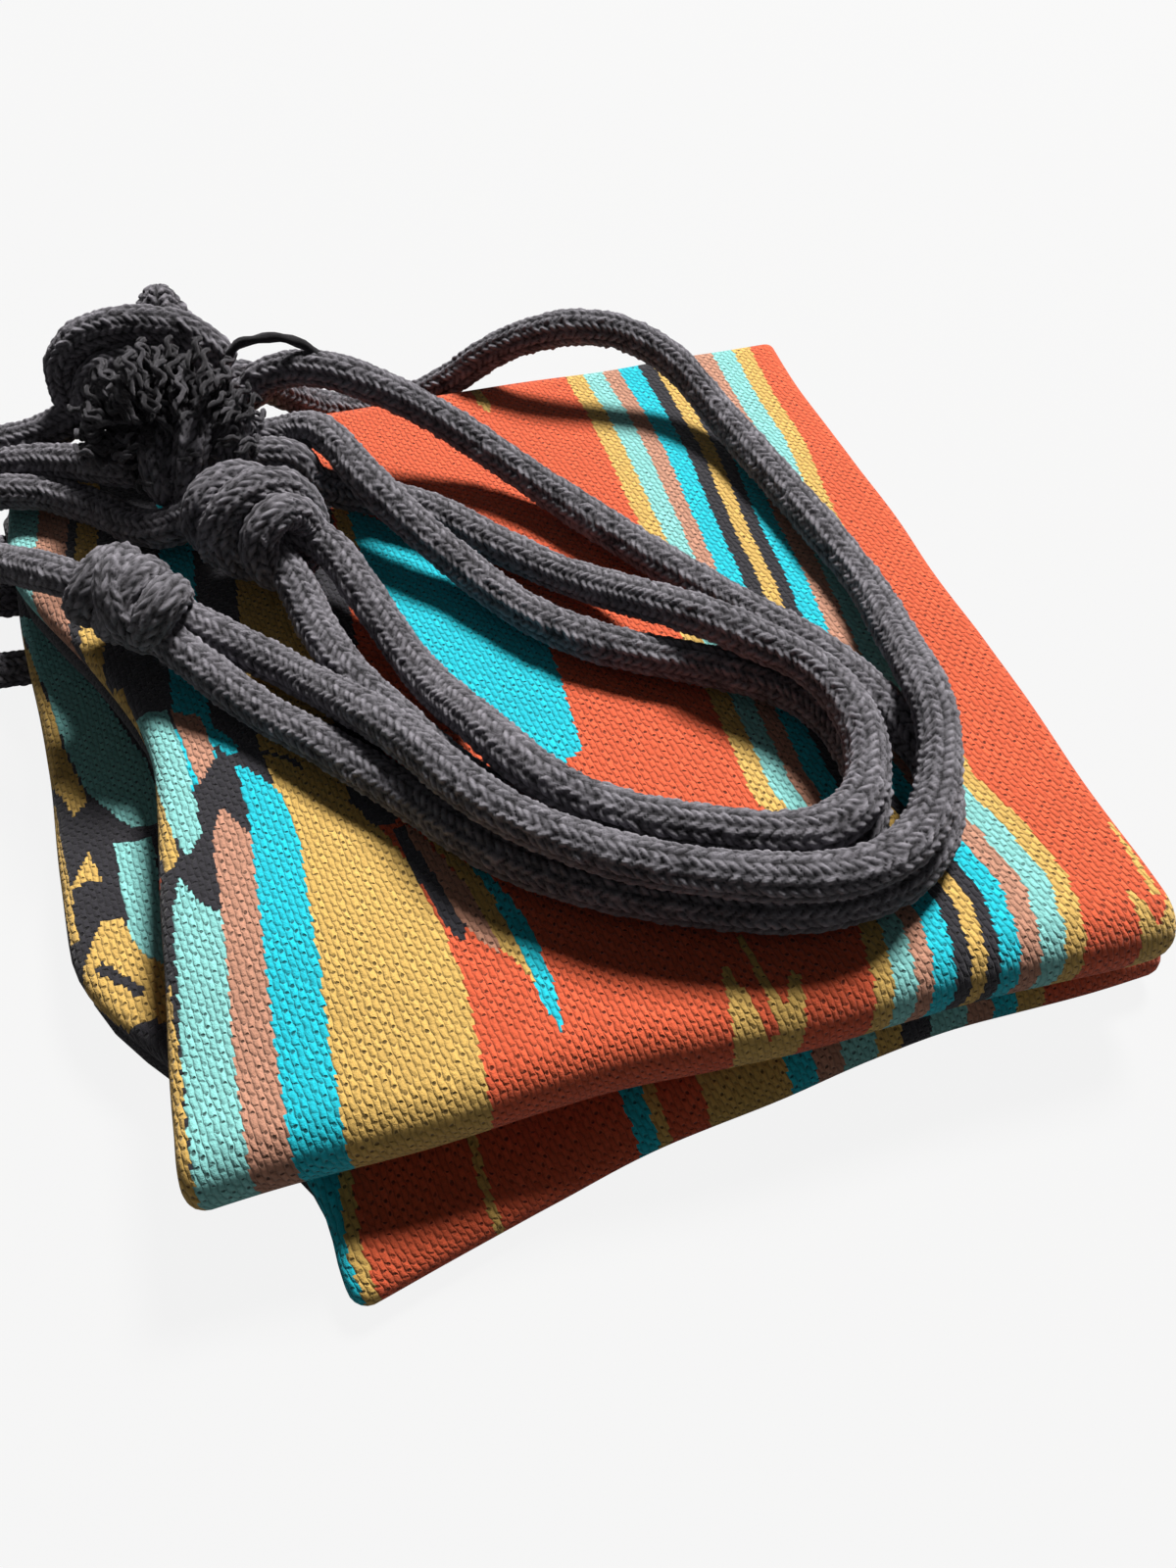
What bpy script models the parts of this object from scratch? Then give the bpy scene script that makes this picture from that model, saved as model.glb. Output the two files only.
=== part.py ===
"""A woven cloth hammock, folded into a flat pack, with its two doubled rope bridles laid on top.

Metres, +Z up. The origin is at the bottom centre of the folded cloth, +X runs along the pack's front edge
and +Y into its depth. The cloth's corners and the ropes' routes are written in steps of the pack's own grid,
one millimetre each, and a rope's height is in rope diameters above the cloth.
"""

import math

import bmesh
import bpy
from mathutils import Vector

# One step of the pack's grid, on which the cloth's corners and the ropes' routes are written.
GRID_STEP = 0.001

# The cloth: a band of four plies, laid to and fro in four layers. Two layers make a pad.
BAND_THICKNESS = 0.0108
LAYER_GAP = 0.0006
LAYERS = 4
FOLD_STEPS = 5
LAYER_STEPS = 12
ACROSS_STEPS = 6
EDGE_STEPS = 4

# The rope, and the play between pieces that touch.
ROPE_DIAMETER = 0.012
ROPE_SIDES_RESOLUTION = 2
ROPE_POINT_SPACING = 0.013
CLEARANCE = 0.0004

# The knots: turns of rope wound round the lead.
KNOT_TURNS = 2.2
KNOT_POINTS_PER_TURN = 18
KNOT_CORE_REACH = 0.008

# The line that the ropes swing about, left of the pack, where they leave the hem.
HINGE_X = -0.196
HINGE_BELOW_TOP = 0.002
HEM_ROPE_PAST_HINGE = 0.0015
HEM_ROPE_ENTRY_HEIGHT = 0.0111

# The frayed yarn that lies over the last knot.
TUFT_LENGTH = 0.052
TUFT_THICKNESS = 0.015
TUFT_SPAN = math.radians(95)
TUFT_LEAN = math.radians(88)

LAYER_PITCH = BAND_THICKNESS + LAYER_GAP
PACK_HEIGHT = LAYERS * BAND_THICKNESS + (LAYERS - 1) * LAYER_GAP
ROPE_RADIUS = ROPE_DIAMETER / 2
KNOT_WIND_RADIUS = ROPE_DIAMETER + 2 * CLEARANCE
KNOT_PITCH = ROPE_DIAMETER + 2 * CLEARANCE
KNOT_RADIUS = KNOT_WIND_RADIUS + ROPE_RADIUS
KNOT_HALF_LENGTH = (KNOT_TURNS * KNOT_PITCH + ROPE_DIAMETER) / 2
HINGE_Z = PACK_HEIGHT - HINGE_BELOW_TOP

# The short end on the third knot: how far it leans back, and how far right of the knot's middle it stands.
TAIL_LENGTH = 0.022
TAIL_LEAN = math.radians(42)
TAIL_ALONG_KNOT = 0.004

# Each pad's corners on the pack's grid, in millimetres, and how far its left edge swells out between the
# two shares of its depth.
PADS = (
    {
        "front_left": (-97, -155), "front_right": (137, -124),
        "back_left": (-132, 138), "back_right": (112, 122),
        "swell": 45, "swell_from": 0.02, "swell_to": 0.33,
    },
    {
        "front_left": (-126, -131), "front_right": (124, -130),
        "back_left": (-124, 137), "back_right": (121, 137),
        "swell": 44, "swell_from": 0.42, "swell_to": 0.85,
    },
)

# Knot name: its middle and the way to its bridle, on the grid.
KNOTS = {
    "knot_1": ((-122.4, 29.1), (0.78, -0.62)),
    "knot_2": ((-82.0, 52.0), (0.70, -0.71)),
    "knot_3": ((-107.6, 130.5), (1.0, 0.0)),
    "knot_4": ((-95.6, 92.0), (1.0, 0.0)),
}

# Each strand's route: x and y in millimetres, and its height above the cloth in rope diameters.
ON_CLOTH = 0.55
ON_ROPE = 1.61
BEHIND_EDGE = -0.8
STRANDS = {
    "bridle_1_strand_upper": (
        (-84, 2, 0.62), (-70, -18, 0.95), (-60, -34, 1.3), (-51, -50, 1.5), (-43, -64.5, 1.58),
        (-34, -77, ON_ROPE), (-23, -87.5, ON_ROPE), (-9, -98, ON_ROPE), (8, -106.8, ON_ROPE),
        (26, -113.5, ON_ROPE), (42, -116, ON_ROPE), (56, -113, ON_ROPE), (67, -105, ON_ROPE),
        (75, -93.5, ON_ROPE), (81.5, -80, ON_ROPE), (85, -66.5, 1.57), (88.5, -50.5, 1.2), (92, -32, 0.78),
        (94, -10, ON_CLOTH), (91, 18, ON_CLOTH), (86.5, 49, ON_CLOTH), (79.5, 82, 0.75), (70, 106, 1.4),
        (56, 120, 1.9), (40, 128, 2.0), (24, 134.5, 1.65), (9, 141, 0.95), (-8, 147, -0.15),
        (-31, 148.5, BEHIND_EDGE), (-53, 148, -0.45), (-69, 143.5, 0.6),
    ),
    "bridle_1_strand_lower": (
        (-95, -8, ON_CLOTH), (-79, -27, ON_CLOTH), (-66, -43, ON_CLOTH), (-55, -57, ON_CLOTH),
        (-46, -69, ON_CLOTH), (-36, -80.5, ON_CLOTH), (-24, -90.5, ON_CLOTH), (-9, -99.8, ON_CLOTH),
        (8, -108, ON_CLOTH), (26, -114.3, ON_CLOTH), (42, -116.5, ON_CLOTH), (57, -114.5, ON_CLOTH),
        (69, -107.5, ON_CLOTH), (78, -96, ON_CLOTH), (82, -81, ON_CLOTH), (79.5, -63, ON_CLOTH),
        (75, -47, ON_CLOTH), (68.5, -32, ON_CLOTH), (59, -17, ON_CLOTH), (49, -2, ON_CLOTH),
        (38, 15, ON_CLOTH), (25, 37, ON_CLOTH), (11, 60, 0.65), (-4, 80, 1.05), (-18, 94, 1.55),
        (-33, 105, 2.05), (-49, 113.5, 2.45), (-62, 119.5, 2.45), (-73, 123, 2.15),
    ),
    "bridle_2_strand_right": (
        (-54, 17, ON_CLOTH), (-48, -4, ON_CLOTH), (-41, -22, 0.68), (-35.5, -38, 1.14),
        (-30.5, -52, 1.45), (-24, -66, ON_ROPE), (-13.8, -78.2, ON_ROPE), (-0.5, -88, ON_ROPE),
        (13.8, -95, ON_ROPE), (27, -100.5, ON_ROPE), (38, -102.3, ON_ROPE), (48, -99.3, ON_ROPE),
        (56, -91.5, ON_ROPE),
        (61, -80, ON_ROPE), (62.5, -68, ON_ROPE), (61, -57, ON_ROPE), (56.5, -46.5, ON_ROPE),
        (48, -36, ON_ROPE), (38.5, -24.5, 1.58), (28, -11, 1.3), (17, 4.5, 0.85), (4, 21, ON_CLOTH),
        (-11, 39, ON_CLOTH), (-25, 57.5, ON_CLOTH), (-36, 67.5, ON_CLOTH), (-46, 74.5, ON_CLOTH),
        (-56, 79.5, 0.6), (-64, 82, 0.95),
    ),
    "bridle_2_strand_left": (
        (-68.5, 13, ON_CLOTH), (-62, -5, ON_CLOTH), (-54, -24, ON_CLOTH), (-46, -41.5, ON_CLOTH),
        (-37, -57.5, ON_CLOTH), (-27.3, -70.2, ON_CLOTH), (-16.5, -80, ON_CLOTH), (-3, -88.6, ON_CLOTH),
        (13, -96.3, ON_CLOTH), (29, -102, ON_CLOTH), (42, -103.5, ON_CLOTH), (53.5, -98, ON_CLOTH),
        (61, -87, ON_CLOTH), (64, -73, ON_CLOTH), (62.5, -60, ON_CLOTH), (57, -48, ON_CLOTH),
        (47, -37.5, ON_CLOTH), (33, -28, ON_CLOTH), (18, -19, ON_CLOTH), (3, -8, ON_CLOTH),
        (-11.5, 9, ON_CLOTH), (-24, 29.5, 0.7), (-36, 47.5, 1.12), (-45, 63, 1.5), (-50.3, 75, 1.66),
        (-54.5, 86, 1.78), (-60, 94, 1.82),
    ),
}

# The knots at a strand's ends, and the side of each that it leaves by.
FRONT_END = 0.58
BACK_END = 1.6
STRAND_ENDS = {
    "bridle_1_strand_upper": ("knot_1", -1, "knot_3", -1),
    "bridle_1_strand_lower": ("knot_1", 1, "knot_3", 1),
    "bridle_2_strand_right": ("knot_2", -1, "knot_4", 1),
    "bridle_2_strand_left": ("knot_2", 1, "knot_4", -1),
}

# Each lead's route between its knot and the hinge, and where on the hinge it ends.
LEAD_ENDS_Y = {1: 70, 2: 106, 3: 133, 4: 119.5}
LEADS = {
    1: ((-150, 51, 1.3), (-163, 60, 0.85)),
    2: ((-104, 67.5, 1.15), (-114, 68.5, 0.75), (-124, 73, 0.6), (-131.5, 81, 0.6), (-139, 90, 0.6),
        (-150, 99, 0.68), (-164, 104.5, 0.78)),
    3: ((-138, 131.5, 1.35), (-151, 132, 0.95), (-164, 133, 0.8)),
    4: ((-124, 95.5, 1.5), (-136, 104.5, 1.15), (-149, 113, 0.85), (-164, 118.5, 0.78)),
}

# The loose turn of rope over the third knot.
KNOT_3_LOOP = (
    (-138, 132.5, 2.5), (-136.5, 133, 3.0), (-130, 134, 3.55), (-120, 134, 3.82), (-110, 133, 3.84),
    (-101, 131, 3.76), (-94, 129, 3.72),
)


def on_grid(x, y, z):
    """A point of the pack's grid in millimetres, at height z in metres, in the part's own frame."""
    return Vector((x * GRID_STEP, y * GRID_STEP, z)) - grid_middle


def above_cloth(x, y, diameters):
    return on_grid(x, y, PACK_HEIGHT + diameters * ROPE_DIAMETER)


def ease(value, low, high):
    share = min(max((value - low) / (high - low), 0.0), 1.0)
    return share * share * (3 - 2 * share)


def smooth_points(points, spacing):
    """Evenly spaced points of a smooth curve through the given ones, ends included."""
    ends = [2 * points[0] - points[1], *points, 2 * points[-1] - points[-2]]
    fine = []
    fine_steps = 24
    for a, b, c, d in zip(ends, ends[1:], ends[2:], ends[3:]):
        for step in range(fine_steps):
            t = step / fine_steps
            fine.append(
                0.5 * (2 * b + (c - a) * t + (2 * a - 5 * b + 4 * c - d) * t**2 + (3 * b - a - 3 * c + d) * t**3)
            )
    fine.append(points[-1])
    travelled = [0.0]
    for before, after in zip(fine, fine[1:]):
        travelled.append(travelled[-1] + (after - before).length)
    count = max(2, round(travelled[-1] / spacing))
    even, place = [], 0
    for step in range(count + 1):
        goal = travelled[-1] * step / count
        while place < len(fine) - 2 and travelled[place + 1] < goal:
            place += 1
        share = (goal - travelled[place]) / (travelled[place + 1] - travelled[place])
        even.append(fine[place].lerp(fine[place + 1], share))
    return even, travelled[-1]


def make_material(name, colour, roughness):
    material = bpy.data.materials.new(name)
    material.use_nodes = True
    shader = material.node_tree.nodes["Principled BSDF"]
    shader.inputs["Base Color"].default_value = (*colour, 1.0)
    shader.inputs["Roughness"].default_value = roughness
    shader.inputs["Metallic"].default_value = 0.0
    return material


def add_object(name, data, material, parent=None):
    """Links a new object. Its data is in the part's frame, so a parent on the hinge is taken off again."""
    obj = bpy.data.objects.new(name, data)
    data.materials.append(material)
    hammock.objects.link(obj)
    if parent is not None:
        obj.parent = parent
        obj.matrix_parent_inverse = parent.matrix_world.inverted()
    return obj


def add_tube(name, points, parent=None, radii=None):
    """A rope along the points: a curve with a round bevel and closed ends."""
    curve = bpy.data.curves.new(name, "CURVE")
    curve.dimensions = "3D"
    curve.bevel_depth = ROPE_RADIUS
    curve.bevel_resolution = ROPE_SIDES_RESOLUTION
    curve.use_fill_caps = True
    spline = curve.splines.new("POLY")
    spline.points.add(len(points) - 1)
    for place, (target, point) in enumerate(zip(spline.points, points)):
        target.co = (*point, 1.0)
        target.radius = radii[place] if radii else 1.0
    spline.use_smooth = True
    return add_object(name, curve, rope_black, parent)


def pad_point(pad, across, along):
    """A point of a pad's plan: across from its left edge to its right, along from its front to its back."""
    front = Vector(pad["front_left"]).lerp(Vector(pad["front_right"]), across)
    back = Vector(pad["back_left"]).lerp(Vector(pad["back_right"]), across)
    point = front.lerp(back, along)
    point.x -= pad["swell"] * ease(along, pad["swell_from"], pad["swell_to"]) * (1 - across) ** 2
    return point


def pack_point(level, across, along):
    """As pad_point, for a level from 0, the lowest layer, to the top one; a fold between pads blends them."""
    share = min(max(level - 1, 0.0), 1.0)
    lower, upper = (pad_point(pad, across, along) for pad in PADS)
    return lower.lerp(upper, share)


def band_stations():
    """Stations along the folded band, from the top layer's free end down to the lowest one's.

    Each is its level, its place along the pads, its height, how far it stands out past the pad's edge, and
    the direction of the band's face as parts outward and up.
    """
    stations = []
    for layer in reversed(range(LAYERS)):
        towards_front = (LAYERS - 1 - layer) % 2 == 0
        height = BAND_THICKNESS / 2 + layer * LAYER_PITCH
        face_up = 1 if towards_front else -1
        for step in range(LAYER_STEPS + 1):
            share = step / LAYER_STEPS
            along = 1 - share if towards_front else share
            stations.append((layer, along, height, 0.0, 0.0, face_up))
        if layer == 0:
            continue
        for step in range(1, FOLD_STEPS):
            turn = math.pi * step / FOLD_STEPS
            drop = LAYER_PITCH / 2 * (1 - math.cos(turn))
            stations.append((
                layer - step / FOLD_STEPS,
                0.0 if towards_front else 1.0,
                height - drop,
                LAYER_PITCH / 2 * math.sin(turn),
                face_up * math.sin(turn),
                face_up * math.cos(turn),
            ))
    return stations


def band_ring(level, along, height, stands_out, face_out, face_up):
    """The closed section of the band at one station, on the grid: both faces, with half-round edges."""
    half = BAND_THICKNESS / 2
    inward = 0.04 if along < 0.5 else -0.04
    ring = []
    samples = [(step / ACROSS_STEPS, 1.0, 0.0) for step in range(ACROSS_STEPS + 1)]
    for step in range(1, EDGE_STEPS):
        turn = math.pi * step / EDGE_STEPS
        samples.append((1.0, math.cos(turn), math.sin(turn)))
    samples += [(1 - step / ACROSS_STEPS, -1.0, 0.0) for step in range(ACROSS_STEPS + 1)]
    for step in range(1, EDGE_STEPS):
        turn = math.pi * step / EDGE_STEPS
        samples.append((0.0, -math.cos(turn), -math.sin(turn)))
    edge_inset = half / GRID_STEP
    for across, face, edge in samples:
        here = pack_point(level, across, along)
        outward = (here - pack_point(level, across, along + inward)).normalized()
        left, right = (pack_point(level, end, along) for end in (0.0, 1.0))
        sideways = (right - left).normalized()
        plan = here + sideways * edge_inset * (edge + 1 - 2 * across)
        plan += outward * (stands_out + face * half * face_out) / GRID_STEP
        ring.append(Vector((plan.x * GRID_STEP, plan.y * GRID_STEP, height + face * half * face_up)))
    return ring


def middle_of(points):
    """The middle of the points' box in plan."""
    low, high = (Vector((pick(p.x for p in points), pick(p.y for p in points), 0)) for pick in (min, max))
    print("folded cloth in plan", [round(size * 1000, 1) for size in (high - low).xy], "mm")
    return (low + high) / 2


def build_cloth(sections):
    """The folded band as a loft through its sections, closed at both free ends."""
    mesh = bmesh.new()
    rings = [[mesh.verts.new(point - grid_middle) for point in section] for section in sections]
    for before, after in zip(rings, rings[1:]):
        for place in range(len(before)):
            following = (place + 1) % len(before)
            mesh.faces.new((before[place], before[following], after[following], after[place]))
    mesh.faces.new(rings[0])
    mesh.faces.new(reversed(rings[-1]))
    bmesh.ops.recalc_face_normals(mesh, faces=mesh.faces)
    data = bpy.data.meshes.new("hammock_cloth")
    mesh.to_mesh(data)
    mesh.free()
    data.shade_smooth()
    data.set_sharp_from_angle(angle=math.radians(40))
    add_object("hammock_cloth", data, cloth_rust)


def knot_axis(name):
    """A knot's middle, lying on the cloth, and the unit vector to its bridle."""
    (x, y), way = KNOTS[name]
    middle = on_grid(x, y, PACK_HEIGHT + KNOT_RADIUS + CLEARANCE)
    return middle, Vector((*way, 0.0)).normalized()


def build_knot(name):
    """Turns of rope round the lead, one unbroken tube."""
    middle, way = knot_axis(name)
    side = way.cross(Vector((0, 0, 1)))
    up = Vector((0, 0, 1))
    count = round(KNOT_TURNS * KNOT_POINTS_PER_TURN)
    points = []
    for step in range(count + 1):
        turns = step / KNOT_POINTS_PER_TURN
        angle = 2 * math.pi * turns
        along = (turns - KNOT_TURNS / 2) * KNOT_PITCH
        points.append(middle + way * along + (side * math.cos(angle) + up * math.sin(angle)) * KNOT_WIND_RADIUS)
    add_tube(name, points, bridle_hinge)
    far_apart = KNOT_POINTS_PER_TURN // 2
    least = min(
        (a - b).length for place, a in enumerate(points) for b in points[place + far_apart:]
    )
    print(name, "least gap between its turns", round((least - ROPE_DIAMETER) * 1000, 2), "mm")


def build_lead(number):
    """The single rope from inside its knot to the hinge."""
    middle, way = knot_axis(f"knot_{number}")
    lead_end = HINGE_X + ROPE_RADIUS + 2 * CLEARANCE
    route = [
        middle + way * KNOT_CORE_REACH,
        middle,
        middle - way * KNOT_HALF_LENGTH,
        *(above_cloth(*point) for point in LEADS[number]),
        *(on_grid(x / GRID_STEP, LEAD_ENDS_Y[number], HINGE_Z) for x in (lead_end + ROPE_DIAMETER, lead_end)),
    ]
    points, length = smooth_points(route, ROPE_POINT_SPACING / 2)
    add_tube(f"lead_rope_{number}", points, bridle_hinge)
    print(f"lead_rope_{number} length", round(length * 1000), "mm")


def cloth_left_edge(y):
    """The lower pad's outermost x within a rope's width of this y, both in millimetres on the grid."""
    steps = 400
    edge = [pad_point(PADS[0], 0.0, step / steps) for step in range(steps + 1)]
    return min(point.x for point in edge if abs(point.y - y) <= ROPE_DIAMETER / GRID_STEP)


def build_hem_rope(number):
    """The rope's end where it leaves the hem: out of the pack's side, and up to the hinge."""
    y = LEAD_ENDS_Y[number]
    hinge_x = HINGE_X / GRID_STEP
    entry_x = cloth_left_edge(y) - CLEARANCE / GRID_STEP
    bend = hinge_x + (entry_x - hinge_x) * 0.35
    route = [
        on_grid(hinge_x, y, HINGE_Z + HEM_ROPE_PAST_HINGE),
        on_grid(hinge_x, y, HINGE_Z * 0.7),
        on_grid(hinge_x, y, HINGE_Z * 0.45),
        on_grid(bend, y, HEM_ROPE_ENTRY_HEIGHT * 1.15),
        on_grid(entry_x, y, HEM_ROPE_ENTRY_HEIGHT),
    ]
    points, _ = smooth_points(route, ROPE_POINT_SPACING / 3)
    add_tube(f"hem_rope_{number}", points)


def strand_end(knot, side_sign, height):
    """Where a strand meets its knot's end face, beside its twin, and a point just before that."""
    middle, way = knot_axis(knot)
    side = way.cross(Vector((0, 0, 1)))
    foot = middle + side * side_sign * (ROPE_RADIUS + CLEARANCE)
    foot.z = PACK_HEIGHT + height * ROPE_DIAMETER
    return [foot + way * (KNOT_HALF_LENGTH + 2 * CLEARANCE + step) for step in (0.0, 0.5 * ROPE_DIAMETER)]


def build_strand(name):
    """One rope of a bridle, from its front knot round the bight and back to its back knot."""
    first_knot, first_side, last_knot, last_side = STRAND_ENDS[name]
    route = strand_end(first_knot, first_side, FRONT_END)
    route += [above_cloth(*point) for point in STRANDS[name]]
    route += reversed(strand_end(last_knot, last_side, BACK_END))
    points, length = smooth_points(route, ROPE_POINT_SPACING)
    add_tube(name, points, bridle_hinge)
    print(name, "length", round(length * 1000), "mm")


def build_tuft():
    """Frayed yarn draped over the last knot: a flattened ball bent round it."""
    middle, way = knot_axis("knot_4")
    side = way.cross(Vector((0, 0, 1)))
    up = Vector((0, 0, 1))
    mesh = bmesh.new()
    bmesh.ops.create_uvsphere(mesh, u_segments=16, v_segments=10, radius=1.0)
    inner = KNOT_RADIUS + CLEARANCE
    for vertex in mesh.verts:
        around, outward, along = vertex.co.x, vertex.co.y, vertex.co.z
        angle = TUFT_LEAN + around * TUFT_SPAN / 2
        lobes = 1 + 0.12 * math.sin(5 * around + 3 * along)
        reach = inner + TUFT_THICKNESS / 2 * (1 + outward * lobes) + 0.12 * TUFT_THICKNESS
        vertex.co = middle + way * along * TUFT_LENGTH / 2
        vertex.co += (side * -math.cos(angle) + up * math.sin(angle)) * reach
    if mesh.calc_volume(signed=True) < 0:
        bmesh.ops.reverse_faces(mesh, faces=mesh.faces)
    data = bpy.data.meshes.new("knot_4_frayed_end")
    mesh.to_mesh(data)
    mesh.free()
    data.shade_smooth()
    add_object("knot_4_frayed_end", data, rope_black, bridle_hinge)


def build_tail():
    """The short end of rope that stands on the back of the third knot, drawn to a point."""
    middle, way = knot_axis("knot_3")
    outward = Vector((0.0, math.sin(TAIL_LEAN), math.cos(TAIL_LEAN)))
    foot = middle + way * TAIL_ALONG_KNOT + outward * (KNOT_RADIUS + CLEARANCE)
    tip = foot + outward * TAIL_LENGTH
    points = [foot.lerp(tip, share) for share in (0.0, 0.35, 0.7, 0.9, 1.0)]
    add_tube("knot_3_tail", points, bridle_hinge, radii=(1.45, 1.4, 1.1, 0.8, 0.45))


def build_loop():
    """The loose turn of rope that stands over the third knot."""
    points, length = smooth_points([above_cloth(*point) for point in KNOT_3_LOOP], ROPE_POINT_SPACING / 2)
    add_tube("knot_3_loop", points, bridle_hinge)
    print("knot_3_loop length", round(length * 1000), "mm")


for old in list(bpy.data.objects):
    bpy.data.objects.remove(old, do_unlink=True)
hammock = bpy.data.collections.new("rope_hammock")
bpy.context.scene.collection.children.link(hammock)
cloth_rust = make_material("cloth_rust", (0.50, 0.10, 0.03), 0.9)
rope_black = make_material("rope_black", (0.018, 0.018, 0.022), 0.95)

cloth_sections = [band_ring(*station) for station in band_stations()]
grid_middle = middle_of([point for section in cloth_sections for point in section])

bridle_hinge = bpy.data.objects.new("bridle_hinge", None)
bridle_hinge.location = on_grid(HINGE_X / GRID_STEP, 0.0, HINGE_Z)
hammock.objects.link(bridle_hinge)
bpy.context.view_layer.update()

build_cloth(cloth_sections)
for strand_name in STRANDS:
    build_strand(strand_name)
for knot_name in KNOTS:
    build_knot(knot_name)
for corner in LEADS:
    build_lead(corner)
    build_hem_rope(corner)
build_tuft()
build_tail()
build_loop()
print("hinge at", [round(value, 5) for value in bridle_hinge.location])
print("grid's middle", [round(value * 1000, 2) for value in grid_middle.xy], "mm")
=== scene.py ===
# %% [markdown]
# This lesson dresses a folded cloth hammock. The pack is a coarse striped blanket cloth folded flat, and
# its two doubled rope bridles lie on top of it, knotted at the left. We start from the fixed frame, so
# that every piece sits where the part's own solids are.

# %% Load the fixed frame
import math
import random

import bpy
import numpy as np
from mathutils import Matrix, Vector, noise


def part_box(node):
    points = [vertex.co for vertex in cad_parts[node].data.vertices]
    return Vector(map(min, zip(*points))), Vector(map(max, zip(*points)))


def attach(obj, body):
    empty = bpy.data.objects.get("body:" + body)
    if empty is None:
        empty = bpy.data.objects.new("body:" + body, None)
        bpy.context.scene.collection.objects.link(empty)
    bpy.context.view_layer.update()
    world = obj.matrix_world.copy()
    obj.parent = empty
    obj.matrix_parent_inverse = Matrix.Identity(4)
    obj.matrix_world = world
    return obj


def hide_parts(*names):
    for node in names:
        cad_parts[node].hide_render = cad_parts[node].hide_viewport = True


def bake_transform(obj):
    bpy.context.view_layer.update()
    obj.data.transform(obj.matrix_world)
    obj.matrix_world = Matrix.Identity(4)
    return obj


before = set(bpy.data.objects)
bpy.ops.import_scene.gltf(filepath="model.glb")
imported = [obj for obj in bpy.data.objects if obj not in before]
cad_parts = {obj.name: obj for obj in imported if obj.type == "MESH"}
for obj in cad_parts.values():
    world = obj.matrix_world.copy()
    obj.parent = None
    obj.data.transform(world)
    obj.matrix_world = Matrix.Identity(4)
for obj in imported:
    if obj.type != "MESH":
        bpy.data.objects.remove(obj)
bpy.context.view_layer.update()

# %% [markdown]
# The photographer stood close and looked down over the front edge. A camera could be aimed at a target,
# but here its place and its two angles are known, so we write them down. A long side of 36 mm with this
# lens gives the wide view in which the near corner looks so big.

# %% The camera
CAMERA_PLACE = (-0.04427, -0.25162, 0.303)
CAMERA_LOOKS_DOWN = math.radians(50.9)
CAMERA_TURNS_RIGHT = math.radians(15.4)
LONG_SIDE = 36.0
FOCAL_LENGTH = 27.79
NEAREST = 0.01


def placed(name, data):
    """A new object in the scene."""
    made = bpy.data.objects.new(name, data)
    bpy.context.scene.collection.objects.link(made)
    return made


lens = bpy.data.cameras.new("camera")
lens.sensor_fit = "AUTO"
lens.sensor_width = LONG_SIDE
lens.lens = FOCAL_LENGTH
lens.clip_start = NEAREST
camera = placed("camera", lens)
camera.location = CAMERA_PLACE
camera.rotation_euler = (math.pi / 2 - CAMERA_LOOKS_DOWN, 0.0, -CAMERA_TURNS_RIGHT)
bpy.context.scene.camera = camera
print("camera", [round(value, 3) for value in camera.location])

# %% [markdown]
# The ropes come next. Each is 12 mm braided cotton, and its route is the one in the part's source: x and
# y in millimetres on the pack's own grid, and the height in rope diameters above the cloth. We turn each
# route into metres and run one smooth curve through it.

# %% Routes on the pack's grid
GRID_STEP = 0.001
GRID_MIDDLE = np.array((-0.01973, -0.00838, 0.0))
PACK_HEIGHT = 0.045
ROPE_DIAMETER = 0.012
ROPE_RADIUS = ROPE_DIAMETER / 2
CLEARANCE = 0.0004
ON_CLOTH = 0.55
UP = np.array((0.0, 0.0, 1.0))


def on_grid(x, y, z):
    """A grid point in millimetres, at height z in metres, in the part's own frame."""
    return np.array((x * GRID_STEP, y * GRID_STEP, z)) - GRID_MIDDLE


def above_cloth(points):
    """Grid points with heights in rope diameters. One with no height lies on the cloth."""
    full = [point if len(point) == 3 else (*point, ON_CLOTH) for point in points]
    return [on_grid(x, y, PACK_HEIGHT + height * ROPE_DIAMETER) for x, y, height in full]


def unit(vectors):
    return vectors / np.linalg.norm(vectors, axis=-1, keepdims=True)


def travel(points):
    """The distance travelled at each point of a line."""
    return np.concatenate([[0.0], np.cumsum(np.linalg.norm(np.diff(points, axis=0), axis=1))])


def smooth_route(points, spacing):
    """Evenly spaced points of one smooth curve through the given ones."""
    points = np.array(points, float)
    ends = np.vstack([2 * points[0] - points[1], points, 2 * points[-1] - points[-2]])
    t = np.linspace(0, 1, 24, endpoint=False)[:, None]
    fine = [
        0.5 * (2 * b + (c - a) * t + (2 * a - 5 * b + 4 * c - d) * t**2 + (3 * b - a - 3 * c + d) * t**3)
        for a, b, c, d in zip(ends, ends[1:], ends[2:], ends[3:])
    ]
    fine = np.vstack([*fine, points[-1:]])
    along = travel(fine)
    goals = np.linspace(0, along[-1], max(2, round(along[-1] / spacing)) + 1)
    return np.stack([np.interp(goals, along, fine[:, axis]) for axis in range(3)], axis=1)


# %% [markdown]
# A braided rope could be a plain tube with a bump map, but its outline would then be a clean line, and
# this rope is lumpy. So the braid is real: the tube's skin rises over each stitch, in columns that lean
# to and fro like a herring's bones. No two stitches of soft cotton are alike, so each has its own
# fullness and the columns drift. How high the skin rose is kept on the mesh, for the finish to read;
# the finish paints shade into the low furrows from it.

# %% A braided tube
BRAID_COLUMNS = 12
BRAID_STITCH = 0.0027
BRAID_LEAN = 1.15
BRAID_DEPTH = 0.0011
BRAID_DRIFT = 0.30
BRAID_FUZZ = 0.00011
BRAID_SWELL = 0.0004
ROPE_RING_SPACING = BRAID_STITCH / 5
ROPE_SIDES = 56


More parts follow.
